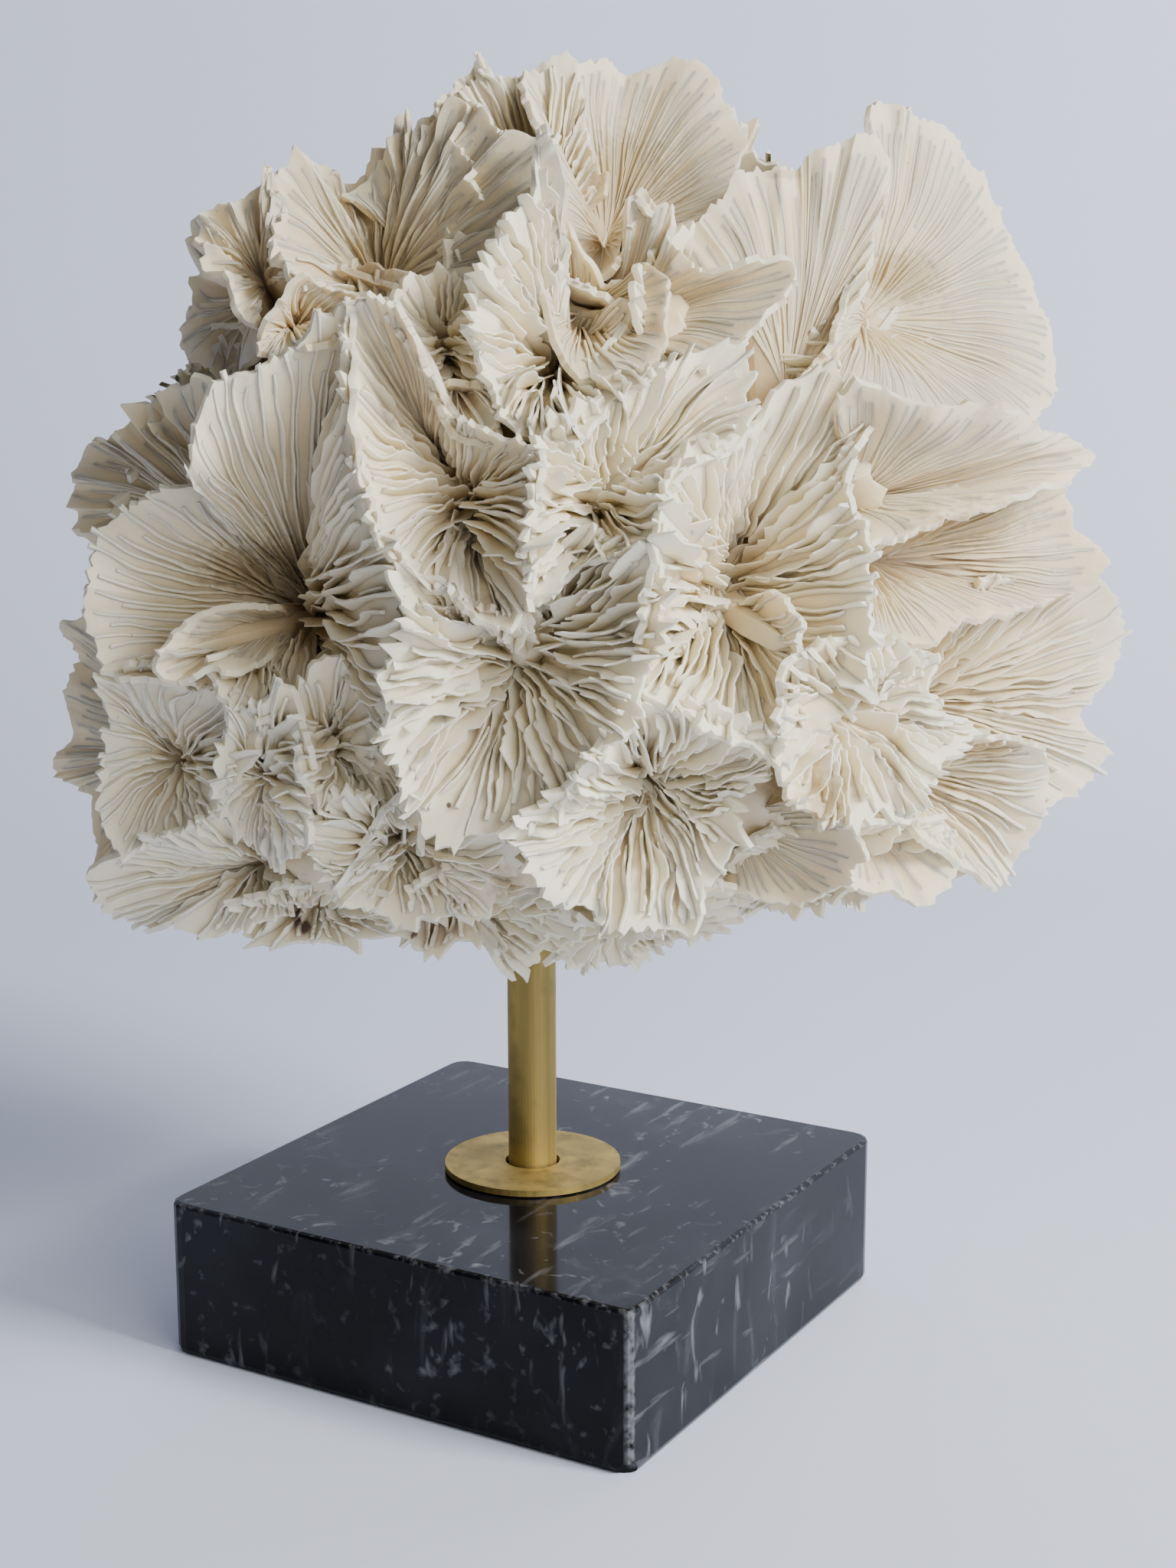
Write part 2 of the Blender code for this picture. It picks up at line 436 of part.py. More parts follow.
def keep_outer_body(data):
    """Deletes every separate shell but the one with the widest spread."""
    mesh = bmesh.new()
    mesh.from_mesh(data)
    left = set(mesh.verts)
    shells = []
    while left:
        shell, edge = set(), [left.pop()]
        while edge:
            vertex = edge.pop()
            shell.add(vertex)
            for link in vertex.link_edges:
                other = link.other_vert(vertex)
                if other in left:
                    left.discard(other)
                    edge.append(other)
        shells.append(shell)
    shells.sort(key=len)
    for shell in shells[:-1]:
        bmesh.ops.delete(mesh, geom=list(shell), context="VERTS")
    mesh.to_mesh(data)
    mesh.free()


def cut(made, cutter, solver="EXACT"):
    """Takes the cutter's shape out of the object, and keeps the cutter as a hidden guide."""
    cutter.hide_render = True
    cutter.display_type = "WIRE"
    taking = made.modifiers.new(cutter.name, "BOOLEAN")
    taking.operation = "DIFFERENCE"
    taking.solver = solver
    taking.object = cutter


def cylinder(name, radius, bottom, top, sides=48):
    """An upright round bar on the rod's axis."""
    mesh = bmesh.new()
    middle = Matrix.Translation((0, 0, (top + bottom) / 2))
    bmesh.ops.create_cone(mesh, cap_ends=True, segments=sides, radius1=radius, radius2=radius,
                          depth=top - bottom, matrix=middle)
    return object_from(mesh, name)


def material(name, colour, roughness, metallic=0.0):
    made = bpy.data.materials.new(name)
    made.use_nodes = True
    surface = made.node_tree.nodes["Principled BSDF"]
    surface.inputs["Base Color"].default_value = (*colour, 1.0)
    surface.inputs["Roughness"].default_value = roughness
    surface.inputs["Metallic"].default_value = metallic
    return made


def bevelled(mesh, chosen, width, segments):
    bmesh.ops.bevel(mesh, geom=chosen, offset=width, segments=segments, profile=0.5, affect="EDGES")


def marble_base():
    """The square block: three rounded corners, a sharper chipped one in front, and a socket for the rod."""
    mesh = bmesh.new()
    bmesh.ops.create_cube(mesh, size=1.0)
    bmesh.ops.scale(mesh, vec=(BASE_SIDE, BASE_SIDE, BASE_HEIGHT), verts=mesh.verts[:])
    bmesh.ops.translate(mesh, vec=(0, 0, BASE_HEIGHT / 2), verts=mesh.verts[:])
    upright = [edge for edge in mesh.edges if abs(edge.verts[0].co.z - edge.verts[1].co.z) > 1]
    upright.sort(key=lambda edge: edge.verts[0].co.x - edge.verts[0].co.y)
    bevelled(mesh, upright[:3], BASE_CORNER_RADIUS, 4)
    bevelled(mesh, upright[3:], BASE_NEAR_CORNER_RADIUS, 3)
    top = [edge for edge in mesh.edges if min(vertex.co.z for vertex in edge.verts) > BASE_HEIGHT - 0.01]
    bevelled(mesh, top, BASE_TOP_BEVEL, 2)
    foot = [edge for edge in mesh.edges if max(vertex.co.z for vertex in edge.verts) < 0.01]
    bevelled(mesh, foot, BASE_FOOT_BEVEL, 2)
    base = object_from(mesh, "marble_base")
    cut(base, cylinder("rod_socket", ROD_RADIUS + GAP, BASE_HEIGHT - ROD_SOCKET_DEPTH, BASE_HEIGHT + 5))
    corner = np.array([BASE_SIDE / 2, -BASE_SIDE / 2, 0.0])
    cut(base, lump("corner_chip", corner, np.array(CHIP_HALF_SIZES), 2, 0.15, 6))
    base.data.materials.append(material("black_marble", (0.012, 0.012, 0.016), 0.12))
    return base


def brass_washer():
    """The flat ring round the rod's foot."""
    bottom = BASE_HEIGHT + GAP
    washer = cylinder("brass_washer", WASHER_RADIUS, bottom, bottom + WASHER_THICKNESS, 64)
    cut(washer, cylinder("washer_hole", WASHER_HOLE_RADIUS, bottom - 2, bottom + WASHER_THICKNESS + 2))
    washer.data.materials.append(material("brass", (0.55, 0.38, 0.14), 0.35, 1.0))
    return washer


def brass_rod(brass):
    """The rod, from its socket in the marble up into the coral."""
    rod = cylinder("brass_rod", ROD_RADIUS, BASE_HEIGHT - ROD_SOCKET_DEPTH + GAP, ROD_TOP)
    rod.data.materials.append(brass)
    return rod


def coral():
    """The coral, with the hole that the rod stands in."""
    whole = fused(coral_pieces(), "coral")
    cut(whole, cylinder("rod_hole", ROD_RADIUS + GAP, 40.0, ROD_TOP + GAP, 24), "MANIFOLD")
    whole.data.materials.append(material("coral", (0.80, 0.74, 0.64), 0.65))
    return whole


def main():
    for leftover in list(bpy.data.objects):
        bpy.data.objects.remove(leftover)
    marble_base()
    washer = brass_washer()
    brass_rod(washer.data.materials[0])
    coral()


main()
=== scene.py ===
# %% [markdown]
# # A mushroom coral on its stand
#
# The real thing is the skeleton of a folded mushroom coral, set on a brass rod that stands in a block of
# black marble. The solids of the stand come from the imported model. This lesson dresses them, and grows the
# coral's fine surface: thin cups, whose inner faces carry hundreds of upright blades, called septa.
#
# The first cell loads the solids as a fixed frame.

# %% Load the solids
import math
import random

import bmesh
import bpy
import numpy as np
from mathutils import Matrix, Vector


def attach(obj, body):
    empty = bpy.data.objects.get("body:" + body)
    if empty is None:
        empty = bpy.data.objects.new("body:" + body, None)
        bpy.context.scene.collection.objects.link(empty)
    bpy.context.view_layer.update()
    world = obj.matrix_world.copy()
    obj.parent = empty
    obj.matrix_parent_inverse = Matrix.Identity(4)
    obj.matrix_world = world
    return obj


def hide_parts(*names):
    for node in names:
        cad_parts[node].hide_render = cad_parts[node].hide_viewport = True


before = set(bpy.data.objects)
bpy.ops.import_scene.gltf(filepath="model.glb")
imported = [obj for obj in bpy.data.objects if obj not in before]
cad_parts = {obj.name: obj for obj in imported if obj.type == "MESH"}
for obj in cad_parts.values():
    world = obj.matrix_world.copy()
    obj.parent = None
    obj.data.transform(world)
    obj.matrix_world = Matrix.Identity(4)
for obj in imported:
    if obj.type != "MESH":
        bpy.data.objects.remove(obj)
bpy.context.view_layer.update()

MM = 0.001

# %% [markdown]
# ## The camera
#
# The picture was taken from a little above the coral, looking past the block's nearest corner. The place,
# the turn and the lens come from the block's own edges: a square block 100 mm wide has to fit its seven
# visible corners. The camera is turned by building its three axes, which says more plainly than three
# angles what is up.

# %% The camera
VIEW_TURN = math.radians(30.34)
VIEW_DOWN = math.radians(11.26)
VIEW_ROLL = math.radians(-0.10)
CAMERA_PLACE = Vector((0.22932, -0.37031, 0.19242))
LENS_MM = 54.22


def placed(name, data):
    """An object with this data, put into the scene."""
    made = bpy.data.objects.new(name, data)
    bpy.context.scene.collection.objects.link(made)
    return made


camera_data = bpy.data.cameras.new("camera")
camera_data.lens = LENS_MM
camera_data.sensor_width = 36.0
camera_data.sensor_fit = "AUTO"
camera_data.clip_start = 0.01
camera = placed("camera", camera_data)

back = Vector((math.sin(VIEW_TURN) * math.cos(VIEW_DOWN), -math.cos(VIEW_TURN) * math.cos(VIEW_DOWN),
               math.sin(VIEW_DOWN)))
level = Vector((math.cos(VIEW_TURN), math.sin(VIEW_TURN), 0.0))
above = back.cross(level)
across = level * math.cos(VIEW_ROLL) + above * math.sin(VIEW_ROLL)
upward = above * math.cos(VIEW_ROLL) - level * math.sin(VIEW_ROLL)
turned = Matrix((across, upward, back)).transposed().to_4x4()
camera.matrix_world = Matrix.Translation(CAMERA_PLACE) @ turned
bpy.context.scene.camera = camera
print("camera at", tuple(round(value, 3) for value in CAMERA_PLACE), "lens", LENS_MM)

# %% [markdown]
# ## Directions on the coral
#
# The coral's face looks along FRONT, a little to one side of the block's nearest corner. A place on the
# face is written as three lengths in millimetres: across and up, as they look from the standpoint when held
# against the rod, and forward, towards the standpoint. `laid_out` turns them into a real place: what stands
# further forward looks larger than it is, so it is drawn in a little.

# %% From places on the face to real places
ACROSS = np.array([math.cos(VIEW_TURN), math.sin(VIEW_TURN), 0.0])
FRONT = np.array([math.sin(VIEW_TURN), -math.cos(VIEW_TURN), 0.0])
UP = np.array([0.0, 0.0, 1.0])
STANDPOINT_ACROSS = 10.8
STANDPOINT_FORWARD = 435.4
STANDPOINT_UP = 192.4
CORAL_CENTRE = ACROSS * 6.0 + UP * 150.0
CORAL_HALF_SIZE = np.array([92.0, 76.0, 82.0])
UNDERSIDE_HEIGHT = 80.0


def laid_out(place):
    """The real place, in millimetres, of across, up and forward on the face."""
    share = (STANDPOINT_FORWARD - place[2]) / STANDPOINT_FORWARD
    real_across = STANDPOINT_ACROSS + (place[0] - STANDPOINT_ACROSS) * share
    real_up = STANDPOINT_UP + (place[1] - STANDPOINT_UP) * share
    return ACROSS * real_across + FRONT * place[2] + UP * real_up


def unit(vectors):
    """The same vectors, each one long."""
    return vectors / np.maximum(np.linalg.norm(vectors, axis=-1, keepdims=True), 1e-9)


print("the rod's top looks to be at", np.round(laid_out((0, 71, 0)), 1), "mm")

# %% [markdown]
# ## Irregularity that repeats on every run
#
# Nothing in a coral is even, but the script has to give the same coral each time. `hashed` turns whole
# numbers into numbers between 0 and 1 that look random, and `drift` joins them smoothly, so that near
# places get near values. Every wave, chip and ragged edge below comes from `drift`, at its own scale.

# %% Smooth irregular numbers
def hashed(first, second, seed):
    """A number from 0 to 1 for each pair of whole numbers, always the same."""
    mixed = np.sin(first * 127.1 + second * 311.7 + seed * 74.7) * 43758.5453
    return mixed - np.floor(mixed)


def drift(first, second, seed):
    """Smooth values from -0.5 to 0.5 over a plane, whose bumps are about one unit apart."""
    corner_1, corner_2 = np.floor(first), np.floor(second)
    part_1, part_2 = first - corner_1, second - corner_2
    blend_1, blend_2 = part_1 * part_1 * (3 - 2 * part_1), part_2 * part_2 * (3 - 2 * part_2)
    near = hashed(corner_1, corner_2, seed) * (1 - blend_1) + hashed(corner_1 + 1, corner_2, seed) * blend_1
    far_1, far_2 = hashed(corner_1, corner_2 + 1, seed), hashed(corner_1 + 1, corner_2 + 1, seed)
    return near * (1 - blend_2) + (far_1 * (1 - blend_1) + far_2 * blend_1) * blend_2 - 0.5


print("drift spreads over", round(float(np.ptp(drift(np.arange(0, 40, 0.3), np.zeros(134), 1))), 2))

# %% [markdown]
# ## A rim as a smooth curve
#
# Each cup is drawn by its rim: some ten to thirty points, read off the coral. `even_rim` runs a
# smooth curve through them and cuts it into even steps. The curve is pulled a little tighter than Blender's
# own curves, because the notches and tips of a real rim are sharp. A fourth number on a point, how tall the
# blades stand there, is carried along in the same way.

# %% Even steps along a rim
RIM_TIGHTNESS = 0.35
CURVE_STEPS = 12


def even_rim(rim, closed, count):
    """So many even rows along a rim's smooth curve, how far along each is, and the curve's length."""
    total = len(rim)
    shares = np.linspace(0, 1, CURVE_STEPS, endpoint=False)[:, None]
    stretches = []
    for start in range(total if closed else total - 1):
        around = [start - 1, start, start + 1, start + 2]
        if closed:
            before, here, there, after = [rim[place % total] for place in around]
        else:
            before, here, there, after = [rim[min(max(place, 0), total - 1)] for place in around]
        leave, arrive = (there - before) * RIM_TIGHTNESS, (after - here) * RIM_TIGHTNESS
        stretches.append((2 * shares**3 - 3 * shares**2 + 1) * here
                         + (shares**3 - 2 * shares**2 + shares) * leave
                         + (3 * shares**2 - 2 * shares**3) * there + (shares**3 - shares**2) * arrive)
    curve = np.concatenate(stretches + [rim[:1] if closed else rim[-1:]])
    steps = np.linalg.norm(np.diff(curve[:, :3], axis=0), axis=1)
    along = np.concatenate([[0], np.cumsum(steps)])
    marks = np.linspace(0, along[-1], count + 1)[:count] if closed else np.linspace(0, along[-1], count)
    rows = np.stack([np.interp(marks, along, curve[:, column]) for column in range(curve.shape[1])], 1)
    return rows, marks, along[-1]


square = np.array([[0, 0, 0, 1], [10, 0, 0, 1], [10, 10, 0, 1], [0, 10, 0, 1]], float)
print("a square of 10 mm has a smooth rim of", round(even_rim(square, True, 20)[2], 1), "mm")

# %% [markdown]
# ## One cup's sheet
#
# A cup is a thin wall of skeleton that spreads from the mouth, where the polyp sat, out to a toothed rim.
# It is made as a grid: straight lines run from the mouth to every step of the rim, bowed out a little.
# Teeth and chips lengthen and shorten its outer part, and folds run out from the mouth. Last, `swayed`
# waves the whole coral as one: it moves a point by its place alone, so walls that neighbours share stay
# together.
#
# The back is a second, coarser grid, close at the rim and far behind at the mouth, so that the cup ends in
# a solid stalk which sinks into its neighbours.
#
# A Solidify modifier would give the wall one thickness all over. Writing both grids keeps the rim
# knife-thin.

# %% The grid of a sheet
SHEET_STEP = 0.85
SHEET_ROWS = 18
BACK_ROWS = np.array([0, 5, 10, 14, 17])
RIM_THICKNESS = 1.1
STALK_DEPTH = 10.0
MOUTH_SHARE = 0.03
ROW_CROWDING = 0.9
OUTWARD_LEAN = 0.6
TOOTH_DEPTH = 1.2
TOOTH_DEPTH_BY_BLADE = 0.6
TOOTH_SHARPNESS = 2.6
CHIP_START = 0.6
FOLD_WIDTH = 8.5
FOLD_WANDERING = (13.0, 0.8, 1.4)

# How wide and how deep chips are, in millimetres
RIM_CHIPS = ((1.4, 0.8), (3.1, 1.7), (9.0, 4.0))

# How wide and how deep the waves of the whole coral are, with a seed, and their share in each direction
SWAY = ((19.0, 5.0, 200), (9.0, 3.8, 210), (4.2, 1.3, 220))
SWAY_AXES = ((FRONT, 1.0), (ACROSS, 0.45), (UP, 0.45))


def swayed(points):
    """How far the whole coral's waving moves each point, by its place alone."""
    sway = np.zeros_like(points)
    for scale, depth, seed in SWAY:
        first = (points[..., 0] + 0.6 * points[..., 2]) / scale
        second = (points[..., 1] - 0.7 * points[..., 2]) / scale
        for place, (axis, share) in enumerate(SWAY_AXES):
            sway += (drift(first, second, seed + place) * depth * share)[..., None] * axis
    return sway


def grid_normals(points, closed):
    """The outward direction and the direction along the rim at each point of a grid."""
    along = np.roll(points, -1, 0) - np.roll(points, 1, 0) if closed else np.gradient(points, axis=0)
    outward = np.gradient(points, axis=1)
    return unit(np.cross(along, outward)), unit(along)


def cup_sheet(mouth, rim, closed, bow, look, seed):
    """The front grid of a cup, with its directions and the numbers that its wall and blades need."""
    length = even_rim(rim, closed, 60)[2]
    count = max(14, int(length / look["step"]))
    edge, along, length = even_rim(rim, closed, count)
    blades = max(6, round(length / look["spacing"]))
    spokes = edge[:, :3] - mouth
    lengths = np.linalg.norm(spokes, axis=1)[:, None]
    facing = unit(unit(edge[:, :3].mean(0) - mouth) + OUTWARD_LEAN * unit(mouth - CORAL_CENTRE))
    lift = unit(facing - (unit(spokes) @ facing)[:, None] * unit(spokes))
    shares = np.maximum(np.linspace(0, 1, SHEET_ROWS) ** ROW_CROWDING, MOUTH_SHARE)[None, :]
    cell = along / length * blades
    tooth = 0.5 - np.abs(cell % 1 - 0.5)
    tall = edge[:, 3]
    reach = tooth * (TOOTH_DEPTH + TOOTH_DEPTH_BY_BLADE * tall) * TOOTH_SHARPNESS
    reach = reach * hashed(np.floor(cell), 0 * cell + seed, 3) ** 1.5
    for width, depth in RIM_CHIPS:
        reach = reach + drift(along / width, 0 * along, seed + width) * depth
    outermost = np.clip((shares - CHIP_START) / (1 - CHIP_START), 0, 1) ** 1.5
    grown = shares * (1 + look["chips"] * (reach / lengths[:, 0])[:, None] * outermost)
    points = mouth + spokes[:, None, :] * grown[..., None]
    points = points + lift[:, None, :] * (lengths * bow * 4 * grown * (1 - grown))[..., None]
    normals, _ = grid_normals(points, closed)
    side = 1.0 if np.mean(normals @ facing) > 0 else -1.0
    pleats = np.cos(2 * np.pi * (cell[:, None] - 0.5)) * look["pleat"] * np.clip(shares * 1.5, 0, 1)
    width, change, depth = FOLD_WANDERING
    fold = along[:, None] / FOLD_WIDTH + drift(along[:, None] / width, shares * change, seed + 1) * depth
    folds = (0.5 - np.abs(np.sin(np.pi * fold))) * look["fold"] * np.clip(shares * 1.4 - 0.2, 0, 1)
    points = points + side * normals * (folds + pleats)[..., None]
    points = points + swayed(points) * (look["ruffle"] * shares**1.3)[..., None]
    normals, rimward = grid_normals(points, closed)
    return {"points": points, "normals": side * normals, "rimward": rimward, "side": side,
            "facing": facing, "shares": shares[0], "tall": tall, "blades": blades, "closed": closed,
            "reach": float(lengths.mean()), "outgrowth": unit(points[:, -1:] - points[:, -4:-3]).repeat(2, 1)}


test_rim = np.array([[20, 0, 165, 3], [0, 20, 165, 3], [-20, 0, 165, 3], [0, -20, 165, 3]], float)
TEST_LOOK = {"spacing": 2.3, "ruffle": 1.0, "fold": 0.0, "pleat": 0.1, "chips": 1.0, "step": SHEET_STEP}
test_sheet = cup_sheet(np.array([0, 0, 150.0]), test_rim, True, 0.05, TEST_LOOK, 1)
print("a test cup has a grid of", test_sheet["points"].shape[:2], "and", test_sheet["blades"], "blades")

# %% [markdown]
# ## Gathering points and faces
#
# A cup holds some fifty blades, and the coral more than eighty cups, so thousands of objects would be slow.
# A `Growth` gathers plain arrays of points and faces instead, and makes one mesh of them at the end. Each
# point also brings a number from 0 at the rim to 1 in the mouth, and the coral's material uses it to paint
# shade into the hollows, darker and more tan towards the mouth.

# %% Gathering and making meshes
# The name of that number: how much painted shade a point gets, from 0 at the rim to 1 in the mouth
HOLLOW_SHADE_ATTRIBUTE = "hollow"
SHARP_TURN = math.radians(38)


class Growth:
    """Points and four-cornered faces of many small shapes, which become one mesh."""

    def __init__(self):
        self.points, self.faces, self.hollows, self.total = [], [], [], 0

    def add(self, points, faces, hollows):
        self.points.append(points)
        self.faces.append(np.asarray(faces) + self.total)
        self.hollows.append(hollows)
        self.total += len(points)

    def make(self, name):
        """One object from everything gathered, in metres. A face whose last corner repeats is a triangle."""
        points, faces = np.concatenate(self.points) * MM, np.concatenate(self.faces)
        sizes = np.where(faces[:, 2] == faces[:, 3], 3, 4)
        keep = np.arange(4)[None, :] < sizes[:, None]
        corners = faces[keep]
        mesh = bpy.data.meshes.new(name)
        mesh.vertices.add(len(points))
        mesh.vertices.foreach_set("co", points.astype(np.float32).ravel())
        mesh.loops.add(len(corners))
        mesh.loops.foreach_set("vertex_index", corners.astype(np.int32))
        mesh.polygons.add(len(faces))
        starts = np.concatenate([[0], np.cumsum(sizes)[:-1]])
        mesh.polygons.foreach_set("loop_start", starts.astype(np.int32))
        mesh.update(calc_edges=True)
        mesh.attributes.new(HOLLOW_SHADE_ATTRIBUTE, "FLOAT", "POINT").data.foreach_set(
            "value", np.concatenate(self.hollows).astype(np.float32))
        mesh.shade_smooth()
        mesh.set_sharp_from_angle(angle=SHARP_TURN)
        print(name, "has", int((sizes - 2).sum()), "triangles")
        return placed(name, mesh)


def grid_faces(columns, rows, closed, first=0, turned=False):
    """The faces of a grid whose points are numbered row by row within each column."""
    column = np.arange(columns if closed else columns - 1)[:, None]
    row = np.arange(rows - 1)[None, :]
    beside = (column + 1) % columns
    here, there = column * rows + row, beside * rows + row
    faces = np.stack([here, there, there + 1, here + 1], -1).reshape(-1, 4) + first
    return faces[:, ::-1] if turned else faces


print("a closed grid of 6 by 4 points has", len(grid_faces(6, 4, True)), "faces")

# %% [markdown]
# ## A wall from a sheet
#
# `add_wall` turns a sheet into a closed shape: the front grid, the back grid, and strips that join them
# along the rim, round the mouth and, on an open fan, down both ends.

# %% The wall
def add_wall(growth, sheet, painted_shade=0.0):
    """Adds the front and the back of a cup's wall, joined at their edges."""
    points, closed, turned = sheet["points"], sheet["closed"], sheet["side"] < 0
    columns, rows, shares = points.shape[0], points.shape[1], sheet["shares"]
    thickness = RIM_THICKNESS + (STALK_DEPTH - RIM_THICKNESS) * (1 - shares[BACK_ROWS]) ** 2.2
    deep = unit(sheet["normals"][:, BACK_ROWS] * shares[BACK_ROWS][None, :, None]
                + sheet["facing"] * (1 - shares[BACK_ROWS])[None, :, None])
    backs = points[:, BACK_ROWS] - deep * thickness[None, :, None]
    back_rows, first = len(BACK_ROWS), columns * rows
    faces = [grid_faces(columns, rows, closed, 0, turned),
             grid_faces(columns, back_rows, closed, first, not turned)]
    column = np.arange(columns if closed else columns - 1)
    beside = (column + 1) % columns
    for row, back_row, flip in ((rows - 1, back_rows - 1, turned), (0, 0, not turned)):
        strip = np.stack([column * rows + row, beside * rows + row,
                          first + beside * back_rows + back_row, first + column * back_rows + back_row], -1)
        faces.append(strip[:, ::-1] if flip else strip)
    if not closed:
        for end, flip in ((0, turned), (columns - 1, not turned)):
            for place in range(back_rows - 1):
                near, far = BACK_ROWS[place], BACK_ROWS[place + 1]
                behind = first + end * back_rows + place
                fan = [end * rows + row for row in range(near, far + 1)] + [behind + 1]
                for one, other in zip(fan[:-1], fan[1:]):
                    corners = [behind, other, one, one] if flip else [behind, one, other, other]
                    faces.append(np.array([corners]))
    # Painted shade: darker towards the mouth, less on the back, and raised or lowered for each cup by its
    # finish
    hollow = np.clip(1.05 - shares, 0, 1) ** 1.1 + 0.12 + painted_shade * (1.3 - shares)
    growth.add(np.concatenate([points.reshape(-1, 3), backs.reshape(-1, 3)]), np.concatenate(faces),
               np.concatenate([np.tile(hollow, columns), np.tile(hollow[BACK_ROWS] * 0.7, columns)]))


trial = Growth()
add_wall(trial, test_sheet)
print("the test cup's wall has", trial.total, "points")

# %% [markdown]
# ## Blades
#
# A blade stands on the sheet like a page on edge. Every fourth one runs right to the mouth, every second
# one nearly so, and the rest stop half way, which keeps them evenly spaced as the cup narrows. Each is a
# thin wedge with a ragged top edge, and it weaves from side to side. Neighbours weave alike, because the
# weaving comes from one `drift` over the whole cup: that is what makes them look combed.

# %% The blades
BLADE_STEPS = 24
BLADE_FOOT = 1.05
BLADE_EDGE = 0.32
BLADE_STARTS = (0.05, 0.18, 0.40)
BLADE_SIZES = (1.0, 0.85, 0.6)
BLADE_ENDS = (0.86, 0.99)
COMB_REACH = 0.08
BLADE_WANDER = 0.34
BLADE_HEIGHTS = (0.45, 1.3)
LEAST_HEIGHT = 0.15
SUNK_FOOT = 0.4
BLADE_LEAN = (6, 1.1)
# Painted shade on each blade: its feet darker, its top edge lighter, both darker towards the mouth
BLADE_PAINTED_SHADE = (0.8, 0.22, 0.22, 0.8)
FOOT_PAINTED_SHADE = (0.1, 0, 0, 0.1)

# The weaving: how wide and how long its waves are, and how deep, in millimetres
CUP_WEAVE = (24, 1.6, 9.0)
GROUP_WEAVE = (7, 9, 2.6)
BLADE_WEAVE = (3.3, 4.5, 0.9)

# A blade's ragged edge: how long its bumps are, how far blades differ, how deep it is, and a seed
BLADE_BUMPS = ((2.2, 7.7, 0.9, 11), (0.8, 1.7, 0.55, 12))


def between(grid, columns, rows, closed):
    """The grid's values part way between its points, at fractional columns and rows."""
    column, row = np.floor(columns).astype(int), np.clip(np.floor(rows).astype(int), 0, grid.shape[1] - 2)
    part, rise = (columns - column)[:, None], (rows - row)[:, None]
    if closed:
        here, beside = column % grid.shape[0], (column + 1) % grid.shape[0]
    else:
        here, beside = np.clip(column, 0, grid.shape[0] - 1), np.clip(column + 1, 0, grid.shape[0] - 1)
    low = grid[here, row] * (1 - part) + grid[beside, row] * part
    high = grid[here, row + 1] * (1 - part) + grid[beside, row + 1] * part
    return low * (1 - rise) + high * rise


def wedge_faces(turned, count):
    """The faces of one blade in so many steps: three strips along it and a cap at each end."""
    start = np.arange(count)[:, None] * 4
    strips = [np.concatenate([start + side, start + side + 1, start + side + 5, start + side + 4], 1)
              for side in range(3)]
    last = count * 4
    faces = np.concatenate(strips + [np.array([[0, 3, 2, 1], [last, last + 1, last + 2, last + 3]])])
    return faces[:, ::-1] if turned else faces


